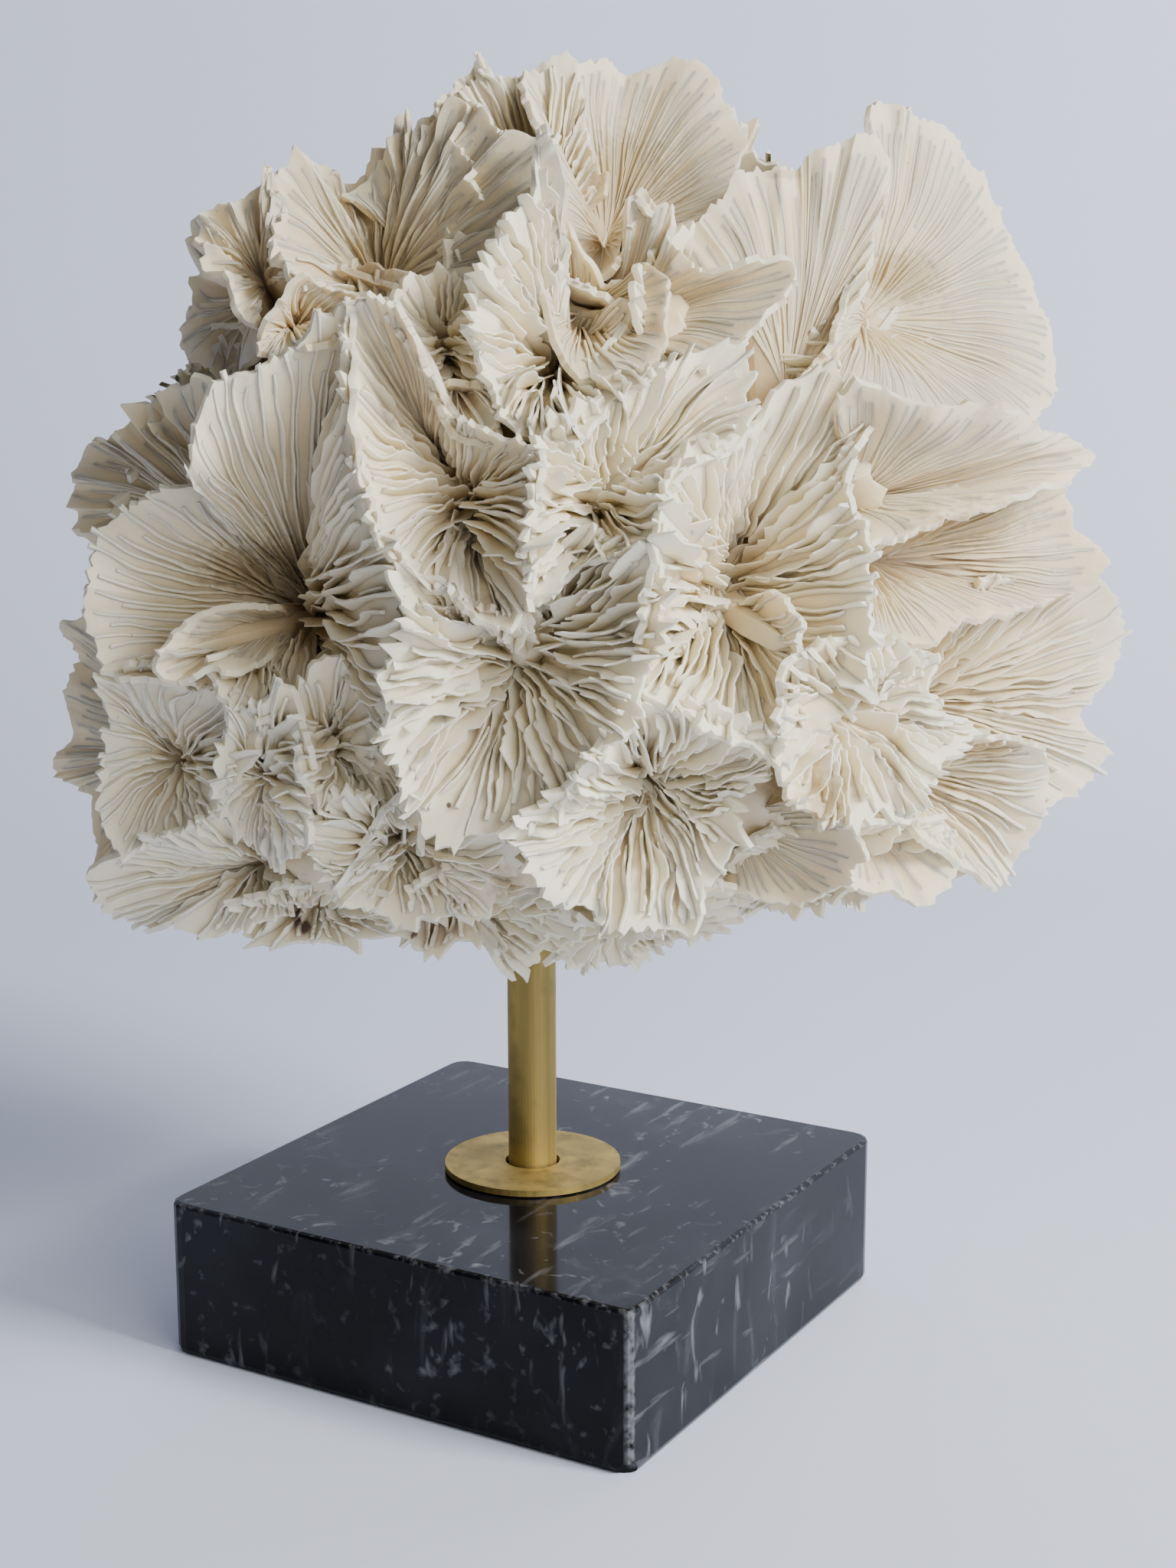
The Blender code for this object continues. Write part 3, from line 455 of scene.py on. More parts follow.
def add_blades(growth, sheet, look, seed):
    """Adds a cup's blades. Comb, from 0 to 1, is how far their ends stand free at the rim."""
    weave, ragged, comb, painted_shade = look["weave"], look["ragged"], look["comb"], look["painted_shade"]
    points, normals, rimward, closed = sheet["points"], sheet["normals"], sheet["rimward"], sheet["closed"]
    columns, reach = points.shape[0], sheet["reach"]
    chance = np.random.default_rng(seed)
    faces = wedge_faces(sheet["side"] < 0, look["blade_steps"])
    steps = np.linspace(0, 1, look["blade_steps"] + 1)
    for blade in range(sheet["blades"]):
        order = 0 if blade % 4 == 0 else (1 if blade % 2 == 0 else 2)
        start = BLADE_STARTS[order] + chance.uniform(-0.04, 0.12)
        end = chance.uniform(BLADE_ENDS[0], BLADE_ENDS[1] + COMB_REACH * comb)
        shares = start + (end - start) * steps
        rows = np.interp(shares, sheet["shares"], np.arange(SHEET_ROWS))
        column = (blade + 0.5 + chance.uniform(-BLADE_WANDER, BLADE_WANDER)) / sheet["blades"] * columns
        arc = column * look["step"]
        width, change, depth = CUP_WEAVE
        shift = drift(arc / width + 0 * shares, shares * change, seed + 8) * depth * (1 - shares)
        width, long, depth = GROUP_WEAVE
        shift = shift + drift(arc / width + 0 * shares, shares * reach / long, seed + 9) * depth
        apart, long, depth = BLADE_WEAVE
        shift = shift + drift(blade * apart + 0 * shares, shares * reach / long, seed + 10) * depth
        place = column + shift * weave * np.clip(shares * 1.3, 0, 1) / look["step"]
        height = np.interp(column, np.arange(columns), sheet["tall"]) * BLADE_SIZES[order]
        height = height * chance.uniform(*BLADE_HEIGHTS)
        if height < LEAST_HEIGHT:
            continue
        beyond = np.maximum(shares - BLADE_ENDS[1], 0)[:, None] * reach
        foot = between(points, place, rows, closed)
        foot = foot + between(sheet["outgrowth"], place, 0 * rows, closed) * beyond
        stand = unit(between(normals, place, rows, closed))
        aside = unit(between(rimward, place, rows, closed))
        fading = (1.0 - 0.8 * comb) * np.clip((steps - 0.2) / 0.8, 0, 1) ** (0.7 + comb)
        profile = np.minimum(1, steps / 0.16) ** 0.7 * (1 - fading)
        rough = 1 + 0 * shares
        for bump, apart, depth, bump_seed in BLADE_BUMPS:
            bumps = drift(shares * reach / bump, apart * blade + 0 * shares, seed + bump_seed)
            rough = rough + bumps * depth * ragged
        rise = np.minimum(height * profile * rough, np.maximum(shares * reach * 0.45, 0.4))
        lean = drift(shares * reach / BLADE_LEAN[0], 2.1 * blade + 0 * shares, seed + 13) * BLADE_LEAN[1]
        top = foot + unit(stand + aside * lean[:, None]) * rise[:, None]
        wide = np.clip(shares * 2.2, 0.3, 1)[:, None]
        base = foot - stand * SUNK_FOOT
        ring = np.stack([base - aside * BLADE_FOOT * wide / 2, top - aside * BLADE_EDGE * wide / 2,
                         top + aside * BLADE_EDGE * wide / 2, base + aside * BLADE_FOOT * wide / 2], 1)
        # Painted shade along the blade: darker at its feet and towards the mouth, raised or lowered by the
        # finish
        blade_shade = np.clip(1 - shares, 0, 1)[:, None] * np.array(BLADE_PAINTED_SHADE) + np.array(FOOT_PAINTED_SHADE)
        blade_shade = blade_shade + painted_shade * 0.8 * (1.3 - shares)[:, None]
        growth.add(ring.reshape(-1, 3), faces, blade_shade.ravel())


TEST_BLADES = {"weave": 1.0, "ragged": 0.6, "comb": 0.5, "painted_shade": 0.0, "blade_steps": BLADE_STEPS}
add_blades(trial, test_sheet, {**TEST_LOOK, **TEST_BLADES}, 1)
print("with its blades it has", trial.total, "points")

# %% [markdown]
# ## One whole cup
#
# `grow_cup` joins the steps. A finish says how a cup's blades look: how tall and how far apart they stand
# in millimetres, how much they weave, how ragged their edges are, and how far their ends stand free as a
# comb. It also says how much the sheet waves, folds, is pleated and chipped, and how far the painted tan
# shade of the hollows reaches out. The large outer fans are smooth with low ribs, and the bowls of the middle
# are packed with tall blades.

# %% Finishes, and a cup
LOOK_NAMES = ("tall", "spacing", "weave", "ragged", "comb", "ruffle", "fold", "pleat", "chips", "painted_shade")
# The last column is painted shade: how much darker and more tan a cup's hollows are painted, and, below
# nought, how much lighter the cup is painted
FINISH_LOOKS = {
    "smooth": (0.6, 1.8, 0.6, 0.45, 0.0, 0.9, 0.5, 0.12, 0.7, 0.5),
    "folded": (0.8, 1.9, 0.6, 0.5, 0.0, 0.9, 3.2, 0.12, 0.8, 0.5),
    # For hollows that lie in shade under other cups: the most painted tan shade
    "shaded_hollow": (1.2, 2.2, 0.7, 0.4, 0.0, 0.9, 0.5, 0.08, 0.7, 0.9),
    "ribbed": (2.0, 2.3, 1.4, 1.0, 0.5, 0.9, 0.6, 0.1, 0.75, 0.22),
    "bladed": (3.3, 2.4, 1.5, 1.0, 0.9, 0.9, 0.3, 0.1, 0.9, -0.1),
    "ragged": (2.9, 2.2, 1.9, 1.4, 0.7, 0.9, 0.3, 0.1, 1.1, -0.1),
    "crumpled": (0.8, 3.4, 2.2, 1.2, 0.0, 1.6, 1.6, 0.1, 1.0, 0.05),
    "sheet": (0.35, 2.0, 0.6, 0.5, 0.0, 1.0, 0.7, 0.1, 0.9, 0.5),
}
FINISHES = {name: dict(zip(LOOK_NAMES, looks)) for name, looks in FINISH_LOOKS.items()}


def grow_cup(growth, mouth, rim, closed, bow, finish, seed, step=SHEET_STEP, blade_steps=BLADE_STEPS):
    """Adds a cup whose rim rows are places in millimetres, each with the height of the blades there."""
    look = {**FINISHES[finish], "step": step, "blade_steps": blade_steps}
    sheet = cup_sheet(mouth, rim, closed, bow, look, seed)
    add_wall(growth, sheet, look["painted_shade"])
    add_blades(growth, sheet, look, seed)


def grow_face_cups(name, cups, first_seed):
    """One piece from cups on the face. The blades keep their height until a point gives a new one."""
    growth = Growth()
    for index, (closed, bow, finish, mouth, rim) in enumerate(cups.values()):
        tall, rows = FINISHES[finish]["tall"], []
        for place in rim:
            tall = place[3] if len(place) > 3 else tall
            rows.append([*laid_out(place), tall])
        grow_cup(growth, laid_out(mouth), np.array(rows), closed, bow, finish, first_seed + index)
    return growth.make(name)


print("finishes:", ", ".join(FINISHES))

# %% [markdown]
# ## The left side
#
# The largest bowl opens on the left. Its upper fan is smooth, its wall towards the middle carries a comb of
# blade ends, and a folded tongue lies across its lower lip. Below it sit smaller cups, down to the broken
# foot.

# %% The left side: cups
LEFT_CUPS = {
    "left_bowl": (True, 0.05, "ribbed", (-38, 138, 34),
        [(-60, 163, 58, 1.2), (-60, 170, 60), (-58, 179, 60), (-53, 181.5, 60), (-49, 184, 60),
         (-43, 187, 60), (-37, 190, 60), (-33.5, 192, 61, 1.6), (-33, 183, 66, 3), (-34, 172, 72, 3.2),
         (-31, 159, 78, 3.6), (-25, 148, 80, 4), (-25, 136, 81), (-26, 128, 80, 3.6), (-26, 120, 79, 3),
         (-25, 113, 77, 2.2), (-22, 105, 75, 1.8), (-21, 99, 74), (-24, 98, 72, 1.6), (-28, 103, 68),
         (-31, 111, 65, 1.8), (-34, 119, 62), (-41, 124, 63), (-50, 119.5, 66, 2), (-57, 121, 64, 1.4),
         (-62, 125, 62, 1.2), (-70, 127, 60, 1), (-75, 127, 56), (-79, 132, 53, 1.2), (-81, 138, 52),
         (-80, 142, 51), (-77, 154, 50), (-69, 158, 52), (-60, 161, 54), (-50, 149, 46, 1)]),
    "left_tongue": (False, 0.05, "smooth", (-41, 137, 38),
        [(-46, 139, 52), (-53, 139, 57), (-60, 138.5, 61), (-66, 135.5, 64), (-69, 131, 66),
         (-71, 128, 65), (-67, 126, 64), (-61, 129, 66), (-54, 129, 64), (-48, 132, 56)]),
    "tongue_petal": (False, 0.05, "ribbed", (-42, 134, 40),
        [(-56, 131, 62), (-61, 129, 65), (-58, 123, 66), (-52, 120, 67), (-48, 122, 66), (-46, 127, 58)]),
    "lower_left_bowl": (True, 0.05, "ragged", (-64, 111, 40),
        [(-79, 125, 54, 1), (-79, 118, 53), (-80, 110, 51, 1.2), (-80, 103, 50), (-77, 97, 50),
         (-74, 94, 52), (-66, 95, 56, 1.4), (-60, 98, 60, 1.6), (-56, 104, 63, 2), (-54, 111, 65),
         (-52, 118, 66), (-56, 121, 64, 1.4), (-62, 124, 62, 1), (-70, 127, 58)]),
    "crumbled_cup_left": (True, 0.05, "ragged", (-49, 108, 55),
        [(-56, 119, 67, 1.6), (-50, 120, 69, 1.8), (-45, 122, 69, 2.4), (-43, 115, 72, 3), (-42, 108, 73),
         (-42, 100, 72, 2.6), (-42, 93, 70, 2), (-47, 90, 62, 1.4), (-52, 92, 58), (-56, 100, 60),
         (-57, 108, 64, 1.6), (-57, 114, 66)]),
    "crumbled_cup_right": (True, 0.05, "ragged", (-37, 114, 57),
        [(-45, 122, 69, 2.4), (-40, 126, 68, 1.8), (-36, 127, 66, 1.6), (-32, 121, 66), (-30, 112, 68),
         (-28, 104, 69), (-34, 103, 71), (-40, 104, 72, 2.4), (-42, 108, 73, 3), (-43, 115, 72)]),
    "foot_fan_near_ridge": (False, 0.06, "ragged", (-23, 97, 60),
        [(-28, 103, 70), (-34, 104, 72), (-40, 104, 71), (-41, 99, 71), (-41.5, 94, 70), (-39, 90, 70),
         (-37, 86, 69), (-34, 87, 69), (-30, 88, 68), (-26, 88, 66)]),
    "foot_drape": (True, 0.04, "ragged", (-25, 97, 54),
        [(-34, 87, 66, 1.6), (-30, 83, 62), (-24, 80, 60, 2), (-18, 79, 62, 2.4), (-12, 79, 64),
         (-7, 79, 66), (-6, 86, 70), (-5, 94, 74, 2.6), (-10, 98, 75, 3), (-17, 100, 75), (-22, 102, 74),
         (-28, 98, 70, 2)]),
    "foot_cup_left": (True, 0.05, "ragged", (-48, 92, 44),
        [(-50, 101, 58, 2.6), (-58, 99, 58, 2), (-66, 95, 56, 1.6), (-76, 93, 50), (-82, 89, 45),
         (-81, 84, 43), (-78, 80, 42), (-72, 79, 42), (-66, 81, 46, 2), (-60, 79, 46), (-54, 81, 48),
         (-48, 82, 50, 2.4), (-43, 86, 56, 2.6), (-42, 92, 60), (-44, 98, 62)]),
    "foot_under_left": (True, 0.04, "ragged", (-40, 86, 36),
        [(-58, 81, 42), (-50, 78, 42), (-44, 77, 42), (-38, 74.5, 42), (-32, 76.5, 44), (-26, 77, 46),
         (-24, 82, 54), (-30, 86, 62), (-38, 87, 60), (-48, 86, 54)]),
    "foot_under_middle": (True, 0.04, "ragged", (-13, 86, 40),
        [(-25, 78, 48), (-20, 74.5, 46), (-14, 76, 46), (-8, 77, 48), (-6, 72, 44), (0, 71, 44),
         (5, 75, 48), (6, 84, 60), (-2, 90, 66), (-12, 90, 66), (-20, 86, 60)]),
    "left_middle_fan": (False, 0.03, "folded", (-52, 154, 24),
        [(-55, 179, 48), (-58, 180, 42), (-61, 179.5, 38), (-62, 178, 36), (-67, 178, 30), (-68, 174, 27),
         (-71, 175, 25), (-73, 172, 22), (-76, 168.5, 18), (-80, 171, 10), (-83, 166, 5), (-84, 160, 3),
         (-83, 154, 2), (-80, 149, 2), (-77, 145, 6), (-76, 141, 10)]),
    "far_left_fan": (False, 0.03, "smooth", (-52, 116, -4),
        [(-80, 142, 2), (-84, 139, -2), (-88, 136, -4), (-87, 133, -6), (-84, 128, -8), (-86, 124, -8),
         (-86, 119, -8), (-85, 115, -8), (-89, 110, -8), (-89, 107, -8), (-83, 103, -6), (-83, 99, -5),
         (-82, 93, -4), (-83, 88, -2), (-79, 82, 2), (-70, 79, 12)]),
}
coral_left = grow_face_cups("coral_left", LEFT_CUPS, 1)

# %% [markdown]
# ## The middle
#
# The middle of the face is where the coral grew most: small deep bowls, pressed together, whose shared
# walls show as toothed crests. The blades are tall and ragged here.

# %% The middle: cups
MIDDLE_CUPS = {
    "crest_bowl": (True, 0.04, "ribbed", (-9, 158, 52),
        [(-33, 191, 62, 1.6), (-34, 182, 67, 2.4), (-34, 171, 73, 3), (-30, 158, 78, 3.4), (-24, 147, 81),
         (-19, 143, 80, 2.6), (-14, 146, 78, 2), (-12, 142, 79), (-6, 138, 81), (-2, 137, 83, 3),
         (-2, 148, 86, 4.4), (-1, 158, 85), (0, 166, 83, 4), (-4, 170, 77, 2.4), (-10, 172, 72, 2),
         (-16, 176, 68, 1.6), (-18, 181, 66), (-21, 187, 65), (-27, 193, 62)]),
    "crest_fold": (False, 0.04, "smooth", (-16, 166, 54),
        [(-17, 179, 70), (-18, 182, 70), (-20, 185, 69), (-21, 189, 68), (-24, 193, 65), (-28, 194.5, 63),
         (-33, 192, 62), (-33, 183, 62)]),
    "small_cup": (True, 0.03, "ribbed", (-15, 185, 46),
        [(-26, 194, 60), (-23, 197, 54), (-19, 200.5, 50), (-15, 200, 50), (-12, 199, 52), (-6, 202, 57),
         (-10, 191, 65), (-9, 182, 68), (-7, 174, 72), (-13, 172, 70), (-17, 178, 68), (-20, 186, 67)]),
    "tan_hollow": (True, 0.03, "shaded_hollow", (-12, 176, 50),
        [(-17, 181, 66), (-11, 181, 67), (-8, 176, 69), (-8, 171, 71), (-13, 172, 70), (-17, 175, 68)]),
    "centre_bowl": (True, 0.05, "ragged", (-1, 131, 60),
        [(-24, 146, 82, 4), (-24, 136, 84), (-26, 128, 83), (-26, 120, 81, 3.6), (-24, 110, 79, 3.2),
         (-21, 101, 77, 3), (-14, 98, 77), (-6, 96, 79, 2.6), (0, 98, 81), (8, 105, 83, 3), (12, 110, 84),
         (17, 118, 83, 3.6), (20, 126, 84, 4.2), (22, 136, 84, 4.6), (23, 146, 83), (22, 154, 82, 4),
         (12, 153, 77, 3.4), (5, 147, 77), (0, 137, 80, 2.4), (-8, 139, 80, 2), (-15, 143, 80, 2.4)]),
    "fishbone_cup": (True, 0.04, "bladed", (12, 157, 60),
        [(0, 166, 84, 4), (-1, 158, 87, 4.4), (-2, 148, 87), (2, 139, 84, 4), (10, 148, 78, 3),
         (22, 153, 82), (26, 160, 83, 3.4), (29, 166, 77, 3), (40, 170, 67, 2.6), (38, 184, 62, 2.2),
         (28, 184, 64, 2.4), (18, 181, 68, 2.8), (10, 176, 72, 3), (2, 172, 77, 3.4)]),
    "lower_bowl": (True, 0.06, "ragged", (21, 109, 56),
        [(16, 119, 82), (12, 111, 84), (5, 103, 84), (-1, 97, 82), (1, 91, 80), (4, 85, 76), (12, 79, 70),
         (20, 80, 68), (30, 78, 66), (32, 86, 68), (37, 93, 68), (40, 101, 69), (47, 107, 73),
         (48, 112, 77), (40, 116, 80), (30, 120, 82), (21, 121, 82)]),
}
coral_middle = grow_face_cups("coral_middle", MIDDLE_CUPS, 21)

# %% [markdown]
# ## The right side
#
# On the right one deep bowl with long regular blades faces forward, and behind it broad fans reach out
# sideways.

# %% The right side: cups
RIGHT_CUPS = {
    "foot_under_right": (True, 0.04, "ragged", (16, 84, 34),
        [(3, 84, 58), (3, 77, 48), (9, 72, 38), (16, 71, 32), (26, 73, 30), (35, 77, 32), (39, 82, 44),
         (34, 86, 56), (28, 79, 62), (15, 78, 62)]),
    "foot_under_far_right": (True, 0.04, "ragged", (50, 94, 26),
        [(36, 80, 34), (44, 82, 34), (51, 82, 34), (58, 86, 36), (66, 87, 36), (74, 85, 32), (82, 90, 30),
         (76, 96, 38), (62, 98, 50), (48, 98, 54), (38, 90, 48)]),
    "right_bowl": (True, 0.04, "bladed", (33, 142, 46),
        [(26, 160, 80, 3.4), (30, 166, 75, 2.6), (40, 170, 66, 2.2), (45, 178, 60, 2), (55, 180, 57),
         (65, 175, 55), (61, 168, 60, 2.4), (60, 161, 65, 2.8), (62, 154, 67, 3), (65, 147, 68),
         (63, 138, 70), (62, 130, 71), (60, 122, 72), (53, 117, 75, 3.4), (48, 112, 78, 3.6),
         (40, 116, 80), (30, 120, 82, 4), (21, 121, 83, 4.4), (20, 128, 84, 4.6), (22, 138, 84),
         (23, 148, 84), (25, 156, 83, 4)]),
    "right_petal": (False, 0.05, "ribbed", (34, 141, 48),
        [(45, 142, 66), (50, 136, 74), (51, 127, 77), (48, 118, 80), (42, 114, 82)]),
    "right_low_cup": (True, 0.04, "bladed", (53, 121, 54),
        [(50, 128, 77), (49, 117, 80), (48, 108, 76), (52, 102, 72), (58, 99, 68), (65, 101, 64),
         (71, 101, 60), (77, 108, 56), (80, 112, 52), (84, 116, 46), (77, 118, 52), (75, 123, 54),
         (77, 130, 50), (70, 131, 56), (63, 132, 68)]),
    "right_roof_fan": (False, 0.05, "sheet", (57, 158, 44),
        [(56, 176, 62), (61, 179, 62), (66, 178, 61), (73, 176, 58), (81, 175, 53), (88, 173.5, 46),
         (95, 171, 36), (101, 169, 26), (104, 167, 20), (101, 164, 22), (97, 162, 28), (90, 160.5, 40),
         (80, 158, 50), (71, 154, 58), (63, 150, 64)]),
    "right_middle_fan": (False, 0.03, "shaded_hollow", (60, 148, 26),
        [(68, 156, 42), (76, 160, 36), (86, 162, 28), (97, 162, 16), (102, 154, 10), (106, 147, 6),
         (103, 141, 6), (92, 139, 16), (80, 136, 32), (70, 132, 46), (64, 131, 58)]),
    "right_outer_fan": (False, 0.03, "ribbed", (66, 122, 4),
        [(84, 144, 22), (95, 143, 8), (105, 142, 0), (109, 133, -4), (109, 126, -6), (105, 121, -6),
         (104, 116, -6), (108, 112, -6), (103, 106, -4), (97, 100, 0), (88, 96, 8)]),
    "foot_plate_right": (False, 0.03, "sheet", (36, 100, 42),
        [(50, 104, 66), (59, 99, 60), (61, 92, 57), (59, 85, 54), (50, 85, 52), (40, 86, 50), (34, 84, 48)]),
    "foot_plate_far_right": (False, 0.03, "sheet", (58, 104, 34),
        [(81, 96, 36), (79, 88, 38), (74, 83, 40), (68, 86, 42), (62, 87, 46), (58, 90, 50)]),
    "foot_fan_right": (False, 0.03, "ribbed", (64, 110, 26),
        [(82, 115, 42), (95, 111, 32), (98, 106, 28), (95, 100, 27), (91, 91, 28), (88, 86, 32),
         (80, 91, 38), (72, 96, 44)]),
}
coral_right = grow_face_cups("coral_right", RIGHT_CUPS, 41)

# %% [markdown]
# ## The top
#
# The upper cups are thin tall fans, smooth enough for light to shine through, with fine low ribs.

# %% The top: cups
TOP_CUPS = {
    "upper_centre_fan": (False, 0.03, "bladed", (5, 181, 50),
        [(6, 196, 50), (5, 212, 46), (2, 224, 44), (0, 214, 50), (-5, 208, 55), (-7, 200, 60),
         (-11, 190, 66), (-8, 181, 70), (-6, 174, 74), (1, 170, 77), (8, 171, 76), (16, 178, 70),
         (24, 183, 66)]),
    "upper_hollow": (True, 0.03, "shaded_hollow", (9, 191, 36),
        [(5, 212, 44), (8, 205, 42), (12, 200, 40), (15, 198, 40), (20, 201, 44), (26, 199, 50),
         (25, 190, 56), (24, 185, 62), (14, 182, 64), (8, 183, 62), (4, 192, 56), (1, 204, 50)]),
    "upper_shelf": (False, 0.04, "sheet", (14, 188, 36),
        [(19, 214, 40), (22, 216, 39), (24, 211, 42), (27, 211, 42), (26, 205, 45), (29, 202, 48),
         (35, 200, 50), (42, 201, 48), (50, 200, 46), (46, 195, 51), (42, 190, 56), (38, 186, 61),
         (33, 183, 65)]),
    "top_bowl": (True, 0.03, "smooth", (14, 204, 14),
        [(3, 222, 38), (0, 232, 16), (4, 236, 10), (10, 236, 6), (14, 237, 4), (18, 234, 2), (22, 234, 0),
         (27, 236, -2), (32, 234, 0), (36, 227, 4), (38, 221, 10), (36, 213, 22), (28, 207, 34),
         (24, 211, 42), (20, 214, 40), (17, 204, 38), (12, 200, 38), (5, 211, 40)]),
    "top_back_fan": (False, 0.03, "smooth", (4, 212, 10),
        [(-17, 229, 22), (-15, 232, 18), (-11, 235, 14), (-8, 238, 12), (-6, 233, 12), (-2, 233, 12),
         (2, 233, 10)]),
    "upper_left_bowl": (True, 0.03, "folded", (-26, 195, 26),
        [(-45, 203, 40), (-45, 210, 30), (-45, 217, 20), (-42, 221, 15), (-39, 222, 13), (-36, 219, 12),
         (-33, 216, 12), (-29, 217, 12), (-25, 222, 11), (-22, 228, 10), (-20, 226, 13), (-17, 229, 16),
         (-13, 230, 20), (-8, 227, 27), (0, 224, 34), (2, 223, 36), (0, 213, 44), (-5, 208, 48),
         (-6, 201, 54), (-14, 201, 48), (-20, 198, 45), (-30, 195, 43), (-37, 196, 43), (-42, 199, 42)]),
    "left_fold": (False, 0.04, "folded", (-47, 197, 28),
        [(-49, 191, 40), (-51, 196, 37), (-55, 201, 33), (-57, 206, 28), (-58, 213, 22), (-53, 212, 21),
         (-49, 215, 20), (-46, 217, 22), (-45, 210, 30), (-43, 203, 37), (-42, 199, 41)]),
    "middle_fold": (False, 0.04, "folded", (-18, 200, 22),
        [(-34, 214, 17), (-30, 216, 17), (-26, 219, 16), (-22, 229, 14), (-20, 225, 16), (-17, 229, 18),
         (-14, 230, 22), (-13, 222, 30), (-12, 213, 36)]),
    "left_hollow": (True, 0.03, "shaded_hollow", (-42, 189, 34),
        [(-48, 188, 48), (-47, 191, 48), (-45, 194, 47), (-43, 198, 45), (-40, 200, 44), (-37, 198, 45),
         (-33, 196.5, 46), (-30, 196, 47), (-26, 195, 48), (-33, 191, 58), (-38, 188, 60), (-46, 185, 58)]),
    "left_shoulder_fan": (False, 0.05, "crumpled", (-48, 194, 16),
        [(-58, 211, 20), (-59, 205, 19), (-61, 197, 17), (-65, 192, 15), (-65.5, 189, 15), (-64, 186, 16),
         (-60, 182, 20), (-57, 179.5, 25), (-54, 180, 30), (-51, 183, 35), (-48, 189, 41)]),
    "great_wall": (False, 0.03, "sheet", (47, 178, 44),
        [(27, 205, 38), (30, 209, 35), (34, 213, 31), (38, 218, 27), (40, 216, 25), (46, 217, 23),
         (50, 216, 21), (52, 220, 19), (57, 222, 16), (60, 224, 14), (63, 224, 13), (65, 219, 15),
         (64, 212, 20), (62, 204, 26), (60, 195, 35), (59, 185, 44)]),
    "great_bowl": (True, 0.04, "smooth", (60, 191, 14),
        [(63, 210, 20), (62, 220, 14), (62, 227, 10), (66, 229, 7), (70, 226, 4), (76, 224, 1),
         (80, 220, -2), (83, 216, -4), (86, 208, -4), (88, 203, -4), (91, 199, -3), (93, 193, -1),
         (96, 184, 2), (95, 176, 6), (88, 173, 18), (80, 172, 34), (70, 174, 46), (60, 176, 53),
         (50, 179, 51), (56, 185, 48), (59, 194, 36), (61, 203, 26)]),
    "top_back_plate": (False, 0.02, "sheet", (34, 208, 4),
        [(35, 226, -4), (37, 222, -4), (39, 224, -5), (42, 225, -6), (41, 219, -6), (39, 216, -4),
         (38, 210, 2)]),
    "crown_fan": (False, 0.02, "ribbed", (4, 206, 20),
        [(-17, 228, 20), (-13, 232, 17), (-10, 233, 15), (-8, 238, 13), (-6, 233, 13), (-2, 233, 12),
         (2, 236, 11), (6, 238, 10), (9, 237, 10), (10, 231, 12), (11, 223, 16), (14, 214, 22)]),
}
coral_top = grow_face_cups("coral_top", TOP_CUPS, 61)

# %% [markdown]
# ## The sides and the back
#
# Nobody sees how the back grew, so it is filled with cups by a rule that corals follow too: each cup grows
# until it meets its neighbours, so a wall stands half way between two mouths. The mouths are spread
# over the ball. For each, the rim is walked round in steps, and each step reaches out until it is as near
# to a neighbour. These cups have longer steps than the face, to keep the meshes light.

# %% The far cups
FAR_CUPS = [
    (110, 32, 1.0), (106, -4, 0.95), (84, -32, 1.0), (118, 14, 1.0), (126, -22, 1.0), (140, 36, 1.0),
    (150, 4, 1.0), (152, -30, 1.0), (176, 22, 1.0), (180, -12, 1.0), (206, 38, 1.0), (206, 4, 1.0),
    (212, -28, 1.0), (236, 20, 0.97), (240, -12, 0.98), (254, 40, 0.85), (262, 8, 0.88), (256, -36, 0.95),
    (110, 62, 1.0), (186, 64, 1.0), (250, 70, 0.92), (274, -14, 0.88),
]
UNDER_CUPS = [
    (-60, 52, 0.86), (-48, 34, 0.84), (-28, 24, 0.84), (-6, 34, 0.86), (12, 22, 0.86), (34, 36, 0.86),
    (30, 8, 0.86), (56, 22, 0.84), (60, -6, 0.84), (50, -26, 0.86), (24, -18, 0.88), (4, -8, 0.9),
    (-4, -34, 0.9), (-24, -16, 0.88), (-44, -2, 0.84), (-36, -34, 0.88), (-66, 10, 0.82),
    (-66, -20, 0.84), (8, 60, 0.84),
]
FAR_CUP_REACH = 36.0
FAR_CUP_DEPTH = 0.62
FAR_RIM_POINTS = 11
FAR_BLADE_HEIGHTS = (2.2, 3.0, 1.8)
FAR_FINISHES = ("ribbed", "bladed", "ragged")
FAR_LEAST_REACH = 13.0
NEIGHBOUR_DEPTH = 22.0
OVERLAP = 1.04
FAR_SHEET_STEP = 1.4
FAR_BLADE_STEPS = 11
FACE_CUPS = [*LEFT_CUPS.values(), *MIDDLE_CUPS.values(), *RIGHT_CUPS.values(), *TOP_CUPS.values()]


def from_centre(direction, share=1.0):
    """The point of the ball's envelope in a direction, or a share of the way out to it."""
    local = np.array([direction @ ACROSS, direction @ FRONT, direction @ UP])
    point = CORAL_CENTRE + direction * share / np.linalg.norm(local / CORAL_HALF_SIZE)
    point[2] = max(point[2], UNDERSIDE_HEIGHT)
    return point


def heading(round_degrees, up_degrees):
    """The direction so many degrees round from FRONT and above the level."""
    turn, rise = math.radians(round_degrees), math.radians(up_degrees)
    return math.cos(rise) * (math.cos(turn) * FRONT + math.sin(turn) * ACROSS) + math.sin(rise) * UP


